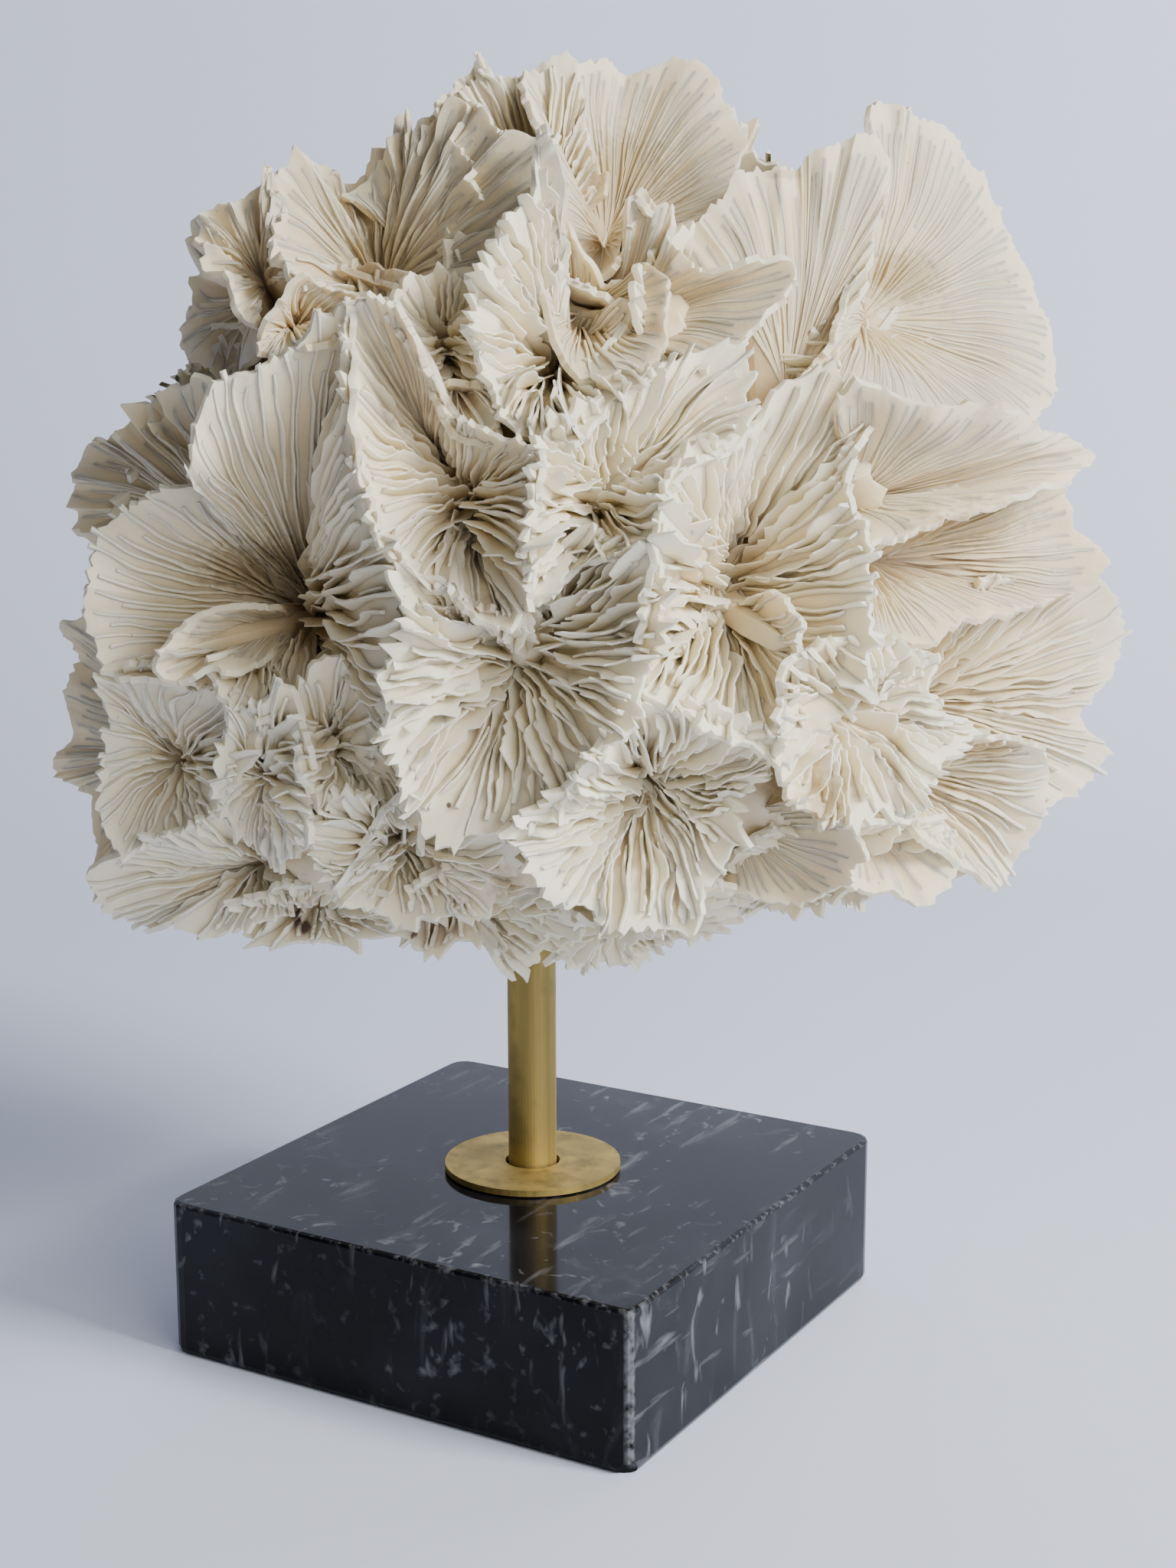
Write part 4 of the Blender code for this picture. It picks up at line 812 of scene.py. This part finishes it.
def filling_cups(headings, near_mouths, seed):
    """The mouth and the rim of a cup at each heading. The mouths already there hold it off."""
    chance = random.Random(seed)
    tips = [from_centre(heading(*cup[:2]), cup[2]) for cup in headings]
    near_tips = [mouth + unit(mouth - CORAL_CENTRE) * NEIGHBOUR_DEPTH for mouth in near_mouths]
    found = []
    for index, (round_degrees, up_degrees, share) in enumerate(headings):
        outward = heading(round_degrees, up_degrees)
        side = unit(np.cross(UP, outward))
        rise = np.cross(outward, side)
        others = [other - tips[index] for place, other in enumerate(tips + near_tips) if place != index]
        rim = []
        for step in range(FAR_RIM_POINTS):
            turn = 2 * math.pi * (step + chance.uniform(-0.25, 0.25)) / FAR_RIM_POINTS
            way = side * math.cos(turn) + rise * math.sin(turn)
            limits = [OVERLAP * (other @ other) / (2 * (other @ way))
                      for other in others if other @ way > 1.0]
            reach = max(min([FAR_CUP_REACH * chance.uniform(0.9, 1.1)] + limits), FAR_LEAST_REACH)
            edge = unit(tips[index] + way * reach - CORAL_CENTRE)
            rim.append([*from_centre(edge, share * chance.uniform(0.9, 1.03)), FAR_BLADE_HEIGHTS[step % 3]])
        found.append((from_centre(outward, share * FAR_CUP_DEPTH), np.array(rim)))
    return found


def grow_filling_cups(name, cups, first_seed):
    """One piece from some of the far cups."""
    growth = Growth()
    for index, (mouth, rim) in enumerate(cups):
        grow_cup(growth, mouth, rim, True, 0.06, FAR_FINISHES[index % 3], first_seed + index, FAR_SHEET_STEP,
                 FAR_BLADE_STEPS)
    return growth.make(name)


back_cups = filling_cups(FAR_CUPS, [laid_out(cup[3]) for cup in FACE_CUPS], 7)
coral_back_right = grow_filling_cups("coral_back_right", back_cups[:11], 100)
coral_back_left = grow_filling_cups("coral_back_left", back_cups[11:], 120)
coral_under = grow_filling_cups("coral_under", filling_cups(UNDER_CUPS, [], 8), 140)

# %% [markdown]
# ## The core and the broken underside
#
# Behind the cups lies old skeleton. It shows between them, and underneath, where the coral was broken off
# its reef: a crust of knobs, pitted all over. Each lump is a fine ball, pushed in and out by `drift` at
# three scales. Small ones sit behind the walls of the face, so that no light comes through between two
# cups.

# %% The core
CORE_SHARE = 0.6
LUMP_SWELLS = ((16.0, 1.0), (5.0, 0.7), (1.9, 0.45))
FILLING_LUMPS = [
    (-38, 93, 56, 7), (-30, 176, 48, 8), (-27, 163, 58, 8), (-24, 126, 64, 8), (-23, 112, 60, 9),
    (0, 140, 60, 9), (-33, 184, 44, 9), (-7, 173, 54, 9), (-22, 146, 62, 8), (-24, 106, 54, 9),
    (-50, 112, 42, 12), (22, 122, 62, 9), (24, 150, 62, 9), (-44, 100, 48, 10), (0, 98, 60, 10),
    (42, 106, 46, 9), (24, 186, 38, 10),
]
FOOT_LUMPS = [
    (2, 84, 2, 66, 52, 16), (3, 76, 2, 18, 15, 11), (-33, 80, 26, 12, 12, 9), (-50, 84, 16, 13, 13, 9),
    (24, 78, 24, 12, 12, 9), (46, 86, 16, 14, 14, 9), (-36, 84, -8, 13, 13, 10),
    (-10, 84, -32, 14, 14, 10), (20, 84, -30, 12, 12, 10), (46, 88, -12, 14, 14, 10),
    (-12, 78, 22, 10, 10, 8),
]


def add_lump(growth, centre, half_sizes, fineness, rough, seed):
    """Adds a rough ball, pushed in and out at a large, a middle and a fine scale."""
    ball = bmesh.new()
    bmesh.ops.create_icosphere(ball, subdivisions=fineness, radius=1.0)
    shape = np.array([tuple(vertex.co) for vertex in ball.verts])
    faces = np.array([[vertex.index for vertex in face.verts] for face in ball.faces])
    ball.free()
    real = shape * half_sizes
    swell = np.zeros(len(real))
    for scale, share in LUMP_SWELLS:
        first = real[:, 0] / scale + real[:, 2] / scale * 0.6
        second = real[:, 1] / scale - real[:, 2] / scale * 0.7
        swell += share * drift(first, second, seed + scale)
    real = real + shape * swell[:, None] * rough
    points = centre + real[:, :1] * ACROSS + real[:, 1:2] * FRONT + real[:, 2:] * UP
    # Painted shade: darker where the lump dips in
    growth.add(points, np.concatenate([faces, faces[:, 2:]], 1), np.clip(0.6 - swell * 0.9, 0, 1))


core_growth = Growth()
add_lump(core_growth, CORAL_CENTRE, CORAL_HALF_SIZE * CORE_SHARE, 5, 5.0, 3)
for index, (sideways, bottom, forward, wide, deep, high) in enumerate(FOOT_LUMPS):
    middle = laid_out((sideways, bottom, forward)) + UP * high
    add_lump(core_growth, middle, np.array([wide, deep, high], float), 6 if wide > 50 else 4, 5.0, 20 + index)
for index, (sideways, height, forward, radius) in enumerate(FILLING_LUMPS):
    middle = laid_out((sideways, height, forward))
    add_lump(core_growth, middle, np.full(3, float(radius)), 4, 4.0, 50 + index)
coral_core = core_growth.make("coral_core")

# %% [markdown]
# ## The coral's skeleton
#
# Bleached coral is chalky lime: matte, cream white, and it lets light soak in a little, which is why its
# shadows are warm and its thin rims glow. Shade is also painted in: the rims lighter, the walls darker and
# the hollows tan. This painted shade follows the number that every point brought along, broken up by noise,
# with fine grain as bump and a few dark specks.
#
# Painted marks sit in places of their own too: tan shade in deep hollows, darker brown marks, and
# near-black shade in small holes and slots.

# %% The coral's material
# The rims are painted lighter and the walls darker, as painted shade, by each point's number
RIM_COLOUR = (0.94, 0.86, 0.66)
WALL_COLOUR = (0.77, 0.63, 0.40)
# Painted shade deep in the hollows
HOLLOW_SHADE_COLOUR = (0.60, 0.45, 0.27)
SPECK_COLOUR = (0.16, 0.10, 0.06)
# Darker brown marks
BROWN_MARK_COLOUR = (0.40, 0.28, 0.18)
# Near-black painted shade in small holes and slots
HOLE_SHADE_COLOUR = (0.09, 0.055, 0.04)
# Painted tan shade in deep hollows
TAN_SHADE_COLOUR = (0.43, 0.32, 0.165)

# Painted marks: where each looks to be, as on the face, and its half sizes across, in depth and up
# Near-black painted shade in small holes and slots
SHADED_HOLES = [
    ((-44.8, 83.4, 44), (0.9, 14, 2.6)), ((-44.6, 79.2, 44), (0.9, 14, 1.6)),
    ((-43.2, 77.6, 44), (1.1, 14, 1.5)), ((-22.2, 76.8, 46), (0.6, 14, 0.7)),
    ((-15.2, 102.3, 74), (0.5, 10, 0.5)), ((-5.6, 139.3, 78), (0.6, 8, 0.5)),
    ((28.4, 141.2, 52), (2.0, 14, 1.6)),
]
# Darker brown marks at these places
BROWN_MARKS = [
    ((-44, 81, 44), (2.6, 14, 6)), ((-17.5, 89, 66), (2.4, 14, 4.4)), ((-18, 76.8, 46), (5.2, 14, 3)),
    ((-26, 199, 30), (1.6, 16, 5)), ((46, 217, 24), (4, 14, 1.3)), ((-2, 205, 30), (2.5, 22, 6)),
    ((40, 150, 60), (5, 20, 6)), ((-7, 140, 78), (3.4, 10, 2)), ((-4.5, 86, 66), (3.4, 14, 7)),
    ((-18.5, 176, 66), (2.2, 12, 2.6)), ((-12, 177, 64), (3, 12, 3)),
]
# Painted tan shade in deep hollows, under overhanging cups
TAN_SHADES = [
    ((82, 155, 28), (16, 46, 6.5)), ((72, 154.5, 36), (8, 40, 5)), ((69, 199, 16), (10, 26, 6)),
    ((-27, 202, 28), (7, 24, 9)), ((18, 218, 12), (9, 26, 10)), ((-50, 147, 44), (12, 22, 6)),
    ((86, 112, 34), (8, 24, 3)), ((52, 104, 60), (8, 22, 8)),
]
MARKS = [(TAN_SHADES, TAN_SHADE_COLOUR, 0.75), (BROWN_MARKS, BROWN_MARK_COLOUR, 0.5), (SHADED_HOLES, HOLE_SHADE_COLOUR, 0.92)]


def new_material(name):
    """A material, its node tree and its Principled shader."""
    made = bpy.data.materials.new(name)
    made.use_nodes = True
    return made, made.node_tree, made.node_tree.nodes["Principled BSDF"]


def feed(tree, node, sockets):
    """Gives each of some sockets, by name or number, a link, a value or a colour."""
    for name, value in sockets.items():
        socket = node.inputs[name]
        if isinstance(value, bpy.types.NodeSocket):
            tree.links.new(value, socket)
        else:
            socket.default_value = (*value, 1.0) if socket.type == "RGBA" else value


def add_node(tree, kind, settings=None, **sockets):
    """A node of a kind, with its settings and what its sockets are fed."""
    node = tree.nodes.new(kind)
    for name, value in (settings or {}).items():
        setattr(node, name, value)
    feed(tree, node, sockets)
    return node


def mixed(tree, share, first, second):
    """A colour between two, by a share."""
    node = add_node(tree, "ShaderNodeMix", {"data_type": "RGBA"})
    feed(tree, node, {"Factor": share, 6: first, 7: second})
    return node.outputs[2]


def ramped(tree, value, low, high):
    """A value stretched so that low becomes 0 and high becomes 1."""
    node = add_node(tree, "ShaderNodeMapRange", {"clamp": True})
    feed(tree, node, {"From Min": low, "From Max": high, "Value": value})
    return node.outputs["Result"]


def noise(tree, where, scale, detail=2.0, roughness=0.5, distortion=0.0):
    """A noise value of a scale, in bumps to the metre. Distortion curls its shapes."""
    return add_node(tree, "ShaderNodeTexNoise", Vector=where, Scale=scale, Detail=detail,
                    Roughness=roughness, Distortion=distortion).outputs["Fac"]


def calculated(tree, operation, *values):
    """The sum, product or other result of some values."""
    node = add_node(tree, "ShaderNodeMath", {"operation": operation})
    feed(tree, node, dict(enumerate(values)))
    return node.outputs[0]


def along_way(tree, place, direction):
    """How far each place lies along a direction."""
    node = add_node(tree, "ShaderNodeVectorMath", {"operation": "DOT_PRODUCT"})
    feed(tree, node, {0: place, 1: direction})
    return node.outputs["Value"]


def relief(tree, height, strength, distance):
    """The normals of a surface with fine relief."""
    return add_node(tree, "ShaderNodeBump", Height=height, Strength=strength,
                    Distance=distance).outputs["Normal"]


def marked(tree, place, middle, half_sizes):
    """How strongly a mark covers each point: 1 in its middle and 0 outside, with a ragged edge."""
    local = add_node(tree, "ShaderNodeMapping", {"vector_type": "TEXTURE"}, Vector=place,
                     Rotation=(0.0, 0.0, VIEW_TURN), Location=tuple(laid_out(middle) * MM),
                     Scale=tuple(size * MM for size in half_sizes))
    away = add_node(tree, "ShaderNodeVectorMath", {"operation": "LENGTH"}, Vector=local.outputs["Vector"])
    ragged = calculated(tree, "ADD", away.outputs["Value"], noise(tree, place, 700.0, 2.0))
    return ramped(tree, ragged, 1.5, 1.0)


def skeleton_material():
    made, tree, surface = new_material("coral_skeleton")
    place = add_node(tree, "ShaderNodeTexCoord").outputs["Object"]
    hollow = add_node(tree, "ShaderNodeAttribute", {"attribute_name": HOLLOW_SHADE_ATTRIBUTE}).outputs["Fac"]
    # Painted shade: the rims lighter, the walls darker and tan shade deep in the hollows, broken up by noise
    painted_shade = calculated(tree, "MULTIPLY", hollow, ramped(tree, noise(tree, place, 60.0, 3.0), 0.25, 0.7))
    colour = mixed(tree, ramped(tree, hollow, 0.05, 0.55), RIM_COLOUR, WALL_COLOUR)
    colour = mixed(tree, ramped(tree, painted_shade, 0.35, 1.0), colour, HOLLOW_SHADE_COLOUR)
    specks = ramped(tree, noise(tree, place, 900.0, 2.0), 0.745, 0.78)
    colour = mixed(tree, calculated(tree, "MULTIPLY", specks, 0.6), colour, SPECK_COLOUR)
    # Painted marks: tan shade in deep hollows, brown marks, and near-black shade in holes
    for marks, mark_colour, strength in MARKS:
        for middle, half_sizes in marks:
            cover = calculated(tree, "MULTIPLY", marked(tree, place, middle, half_sizes), strength)
            colour = mixed(tree, cover, colour, mark_colour)
    feed(tree, surface, {
        "Base Color": colour, "Roughness": 0.62, "Specular IOR Level": 0.3, "Subsurface Weight": 0.5,
        "Subsurface Radius": (1.0, 0.8, 0.62), "Subsurface Scale": 0.002,
        "Normal": relief(tree, noise(tree, place, 1400.0, 3.0, 0.6), 0.25, 0.0003)})
    return made


skeleton = skeleton_material()
CORAL_PIECES = [coral_left, coral_middle, coral_right, coral_top, coral_under, coral_back_right,
                coral_back_left, coral_core]
for piece in CORAL_PIECES:
    piece.data.materials.append(skeleton)
    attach(piece, "root")
    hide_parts("coral")
print("coral pieces:", len(CORAL_PIECES))

# %% [markdown]
# ## Black marble
#
# The block is polished black marble. It holds pale flecks and short streaks that lean one way, and faint
# clouds. Its nearest corner is chipped to a whitish line all down, and its upper edges are nicked.

# %% The marble's material
MARBLE_BLACK = (0.004, 0.004, 0.0055)
MARBLE_CLOUD = (0.016, 0.017, 0.021)
MARBLE_FLECK = (0.20, 0.205, 0.22)
MARBLE_VEIN = (0.05, 0.052, 0.058)
CHIP_COLOUR = (0.15, 0.15, 0.16)
WEAR_DEPTH = 0.0005
POLISH = 0.09

# The worn edges: the direction that each faces, how far out it is, and from which noise value it is chipped
WORN_EDGES = [((1.0, -1.0, 0.0), 0.0984, 0.32), ((1.0, 0.0, 1.0), 0.0789, 0.50),
              ((0.0, -1.0, 1.0), 0.0789, 0.50)]


def stretched(tree, place, turn, scale):
    """The same coordinates turned and stretched, so that noise on them becomes streaks."""
    node = add_node(tree, "ShaderNodeMapping", Vector=place, Rotation=turn, Scale=scale)
    return node.outputs["Vector"]


def dress(node_name, material):
    """Gives one of the stand's solids its material."""
    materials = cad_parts[node_name].data.materials
    materials.clear()
    materials.append(material)


def marble_material():
    made, tree, surface = new_material("polished_black_marble")
    place = add_node(tree, "ShaderNodeTexCoord").outputs["Object"]
    clouds = ramped(tree, noise(tree, place, 35.0, 4.0), 0.45, 0.8)
    patches = ramped(tree, noise(tree, place, 30.0, 2.0), 0.36, 0.62)
    streaks = stretched(tree, place, (0.3, 0.5, 0.2), (1.0, 1.0, 0.34))
    flecks = ramped(tree, noise(tree, streaks, 260.0, 2.0, 0.5, 0.7), 0.62, 0.82)
    threads = stretched(tree, place, (0.9, 0.2, 0.7), (1.0, 0.16, 1.0))
    hairs = ramped(tree, noise(tree, threads, 300.0, 3.0), 0.60, 0.85)
    marks = calculated(tree, "MULTIPLY", calculated(tree, "MAXIMUM", flecks, hairs), patches)
    veins = ramped(tree, noise(tree, streaks, 75.0, 4.0, 0.6, 1.5), 0.58, 0.8)
    veins = calculated(tree, "MULTIPLY", veins, patches)
    colour = mixed(tree, clouds, MARBLE_BLACK, MARBLE_CLOUD)
    colour = mixed(tree, veins, colour, MARBLE_VEIN)
    colour = mixed(tree, marks, colour, MARBLE_FLECK)
    grit = noise(tree, place, 700.0, 4.0)
    chips = 0.0
    for direction, distance, least in WORN_EDGES:
        edge = ramped(tree, along_way(tree, place, direction), distance, distance + WEAR_DEPTH)
        worn = calculated(tree, "MULTIPLY", edge, ramped(tree, grit, least, least + 0.3))
        chips = calculated(tree, "MAXIMUM", chips, worn)
    colour = mixed(tree, chips, colour, CHIP_COLOUR)
    feed(tree, surface, {"Base Color": colour, "Specular IOR Level": 0.12,
                         "Roughness": calculated(tree, "MAXIMUM", chips, POLISH)})
    return made


dress("marble_base", marble_material())

# %% [markdown]
# ## Brass
#
# The rod and the washer are satin brass, a little uneven in colour where hands have dulled it. The rod was
# drawn through a die, so its fine scratches run along it.

# %% The brass material
BRASS_BRIGHT = (0.62, 0.46, 0.15)
BRASS_DULL = (0.32, 0.25, 0.09)


def brass_material(name, scratch_scale):
    made, tree, surface = new_material(name)
    place = add_node(tree, "ShaderNodeTexCoord").outputs["Object"]
    patches = ramped(tree, noise(tree, place, 130.0, 4.0), 0.3, 0.75)
    drawn = stretched(tree, place, (0.0, 0.0, 0.0), scratch_scale)
    bands = ramped(tree, noise(tree, drawn, 260.0, 2.0), 0.35, 0.7)
    tarnish = calculated(tree, "MAXIMUM", patches, bands)
    scratches = noise(tree, drawn, 2200.0, 3.0)
    feed(tree, surface, {
        "Base Color": mixed(tree, tarnish, BRASS_BRIGHT, BRASS_DULL), "Metallic": 1.0,
        "Roughness": calculated(tree, "MULTIPLY_ADD", scratches, 0.25, 0.5),
        "Normal": relief(tree, scratches, 0.2, 0.0001)})
    return made


for node_name, scratch_scale in (("brass_rod", (1.0, 1.0, 0.02)), ("brass_washer", (1.0, 1.0, 1.0))):
    dress(node_name, brass_material("satin_" + node_name, scratch_scale))
print("brass on the rod and the washer")

# %% [markdown]
# ## Floor and light
#
# A pale cloth runs under the block and up behind it in one sweep. Its back lets the view through, so that
# the coral can be looked at from behind and from below. The light is a soft window from the right and
# above, a weaker one from the front, and a dim room that is paler towards the window.

# %% The floor
FLOOR_NEAR = 0.9
FLOOR_FAR = -0.34
SWEEP_RADIUS = 0.22
WALL_TOP = 1.3
FLOOR_HALF_WIDTH = 1.6
SWEEP_STEPS = 16
CLOTH_COLOUR = (0.72, 0.755, 0.88)

profile = [(FLOOR_NEAR, 0.0), (FLOOR_FAR, 0.0)]
for step in range(1, SWEEP_STEPS + 1):
    angle = math.pi / 2 * step / SWEEP_STEPS
    profile.append((FLOOR_FAR - SWEEP_RADIUS * math.sin(angle), SWEEP_RADIUS * (1 - math.cos(angle))))
profile.append((profile[-1][0], WALL_TOP))
corners = [tuple(ACROSS * sideways + FRONT * forward + UP * height)
           for forward, height in profile for sideways in (-FLOOR_HALF_WIDTH, FLOOR_HALF_WIDTH)]
strips = [(start, start + 1, start + 3, start + 2) for start in range(0, len(corners) - 2, 2)]
floor_data = bpy.data.meshes.new("pale_floor")
floor_data.from_pydata(corners, [], strips)
floor_data.shade_smooth()
pale_floor = placed("pale_floor", floor_data)
cloth, cloth_tree, cloth_surface = new_material("pale_cloth")
feed(cloth_tree, cloth_surface, {"Base Color": CLOTH_COLOUR, "Roughness": 0.9})
seen_from_behind = add_node(cloth_tree, "ShaderNodeNewGeometry").outputs["Backfacing"]
see_through = add_node(cloth_tree, "ShaderNodeBsdfTransparent")
one_sided = add_node(cloth_tree, "ShaderNodeMixShader")
feed(cloth_tree, one_sided,
     {0: seen_from_behind, 1: cloth_surface.outputs["BSDF"], 2: see_through.outputs["BSDF"]})
feed(cloth_tree, cloth_tree.nodes["Material Output"], {"Surface": one_sided.outputs["Shader"]})
floor_data.materials.append(cloth)
print("floor sweep with", len(floor_data.polygons), "faces")

# %% The lights
LIT_MIDDLE = Vector((0, 0, 0.13))
ROOM_DARK_SIDE = (0.07, 0.075, 0.09)
ROOM_BRIGHT_SIDE = (0.70, 0.76, 0.92)
ROOM_STRENGTH = 0.19


def soft_light(name, place, size, power, colour):
    """A square soft light at a place, turned towards the middle of the coral."""
    data = bpy.data.lights.new(name, "AREA")
    data.size, data.energy, data.color = size, power, colour
    lamp = placed(name, data)
    lamp.location = Vector(ACROSS * place[0] + FRONT * place[1] + UP * place[2])
    lamp.rotation_euler = (LIT_MIDDLE - lamp.location).to_track_quat("-Z", "Y").to_euler()


soft_light("window", (1.1, 0.58, 0.86), 0.5, 37.0, (0.97, 0.98, 1.0))
soft_light("room_front", (0.65, 1.1, 0.6), 0.7, 8.0, (1.0, 0.98, 0.95))
room = bpy.data.worlds.new("pale_room")
bpy.context.scene.world = room
room.use_nodes = True
room_tree = room.node_tree
outlook = add_node(room_tree, "ShaderNodeTexCoord").outputs["Generated"]
towards_window = along_way(room_tree, outlook, ACROSS * 0.7 - FRONT * 0.2 + UP * 0.7)
room_colour = mixed(room_tree, ramped(room_tree, towards_window, -0.7, 0.8), ROOM_DARK_SIDE, ROOM_BRIGHT_SIDE)
feed(room_tree, room_tree.nodes["Background"], {"Color": room_colour, "Strength": ROOM_STRENGTH})
print("two soft lights and a pale room")
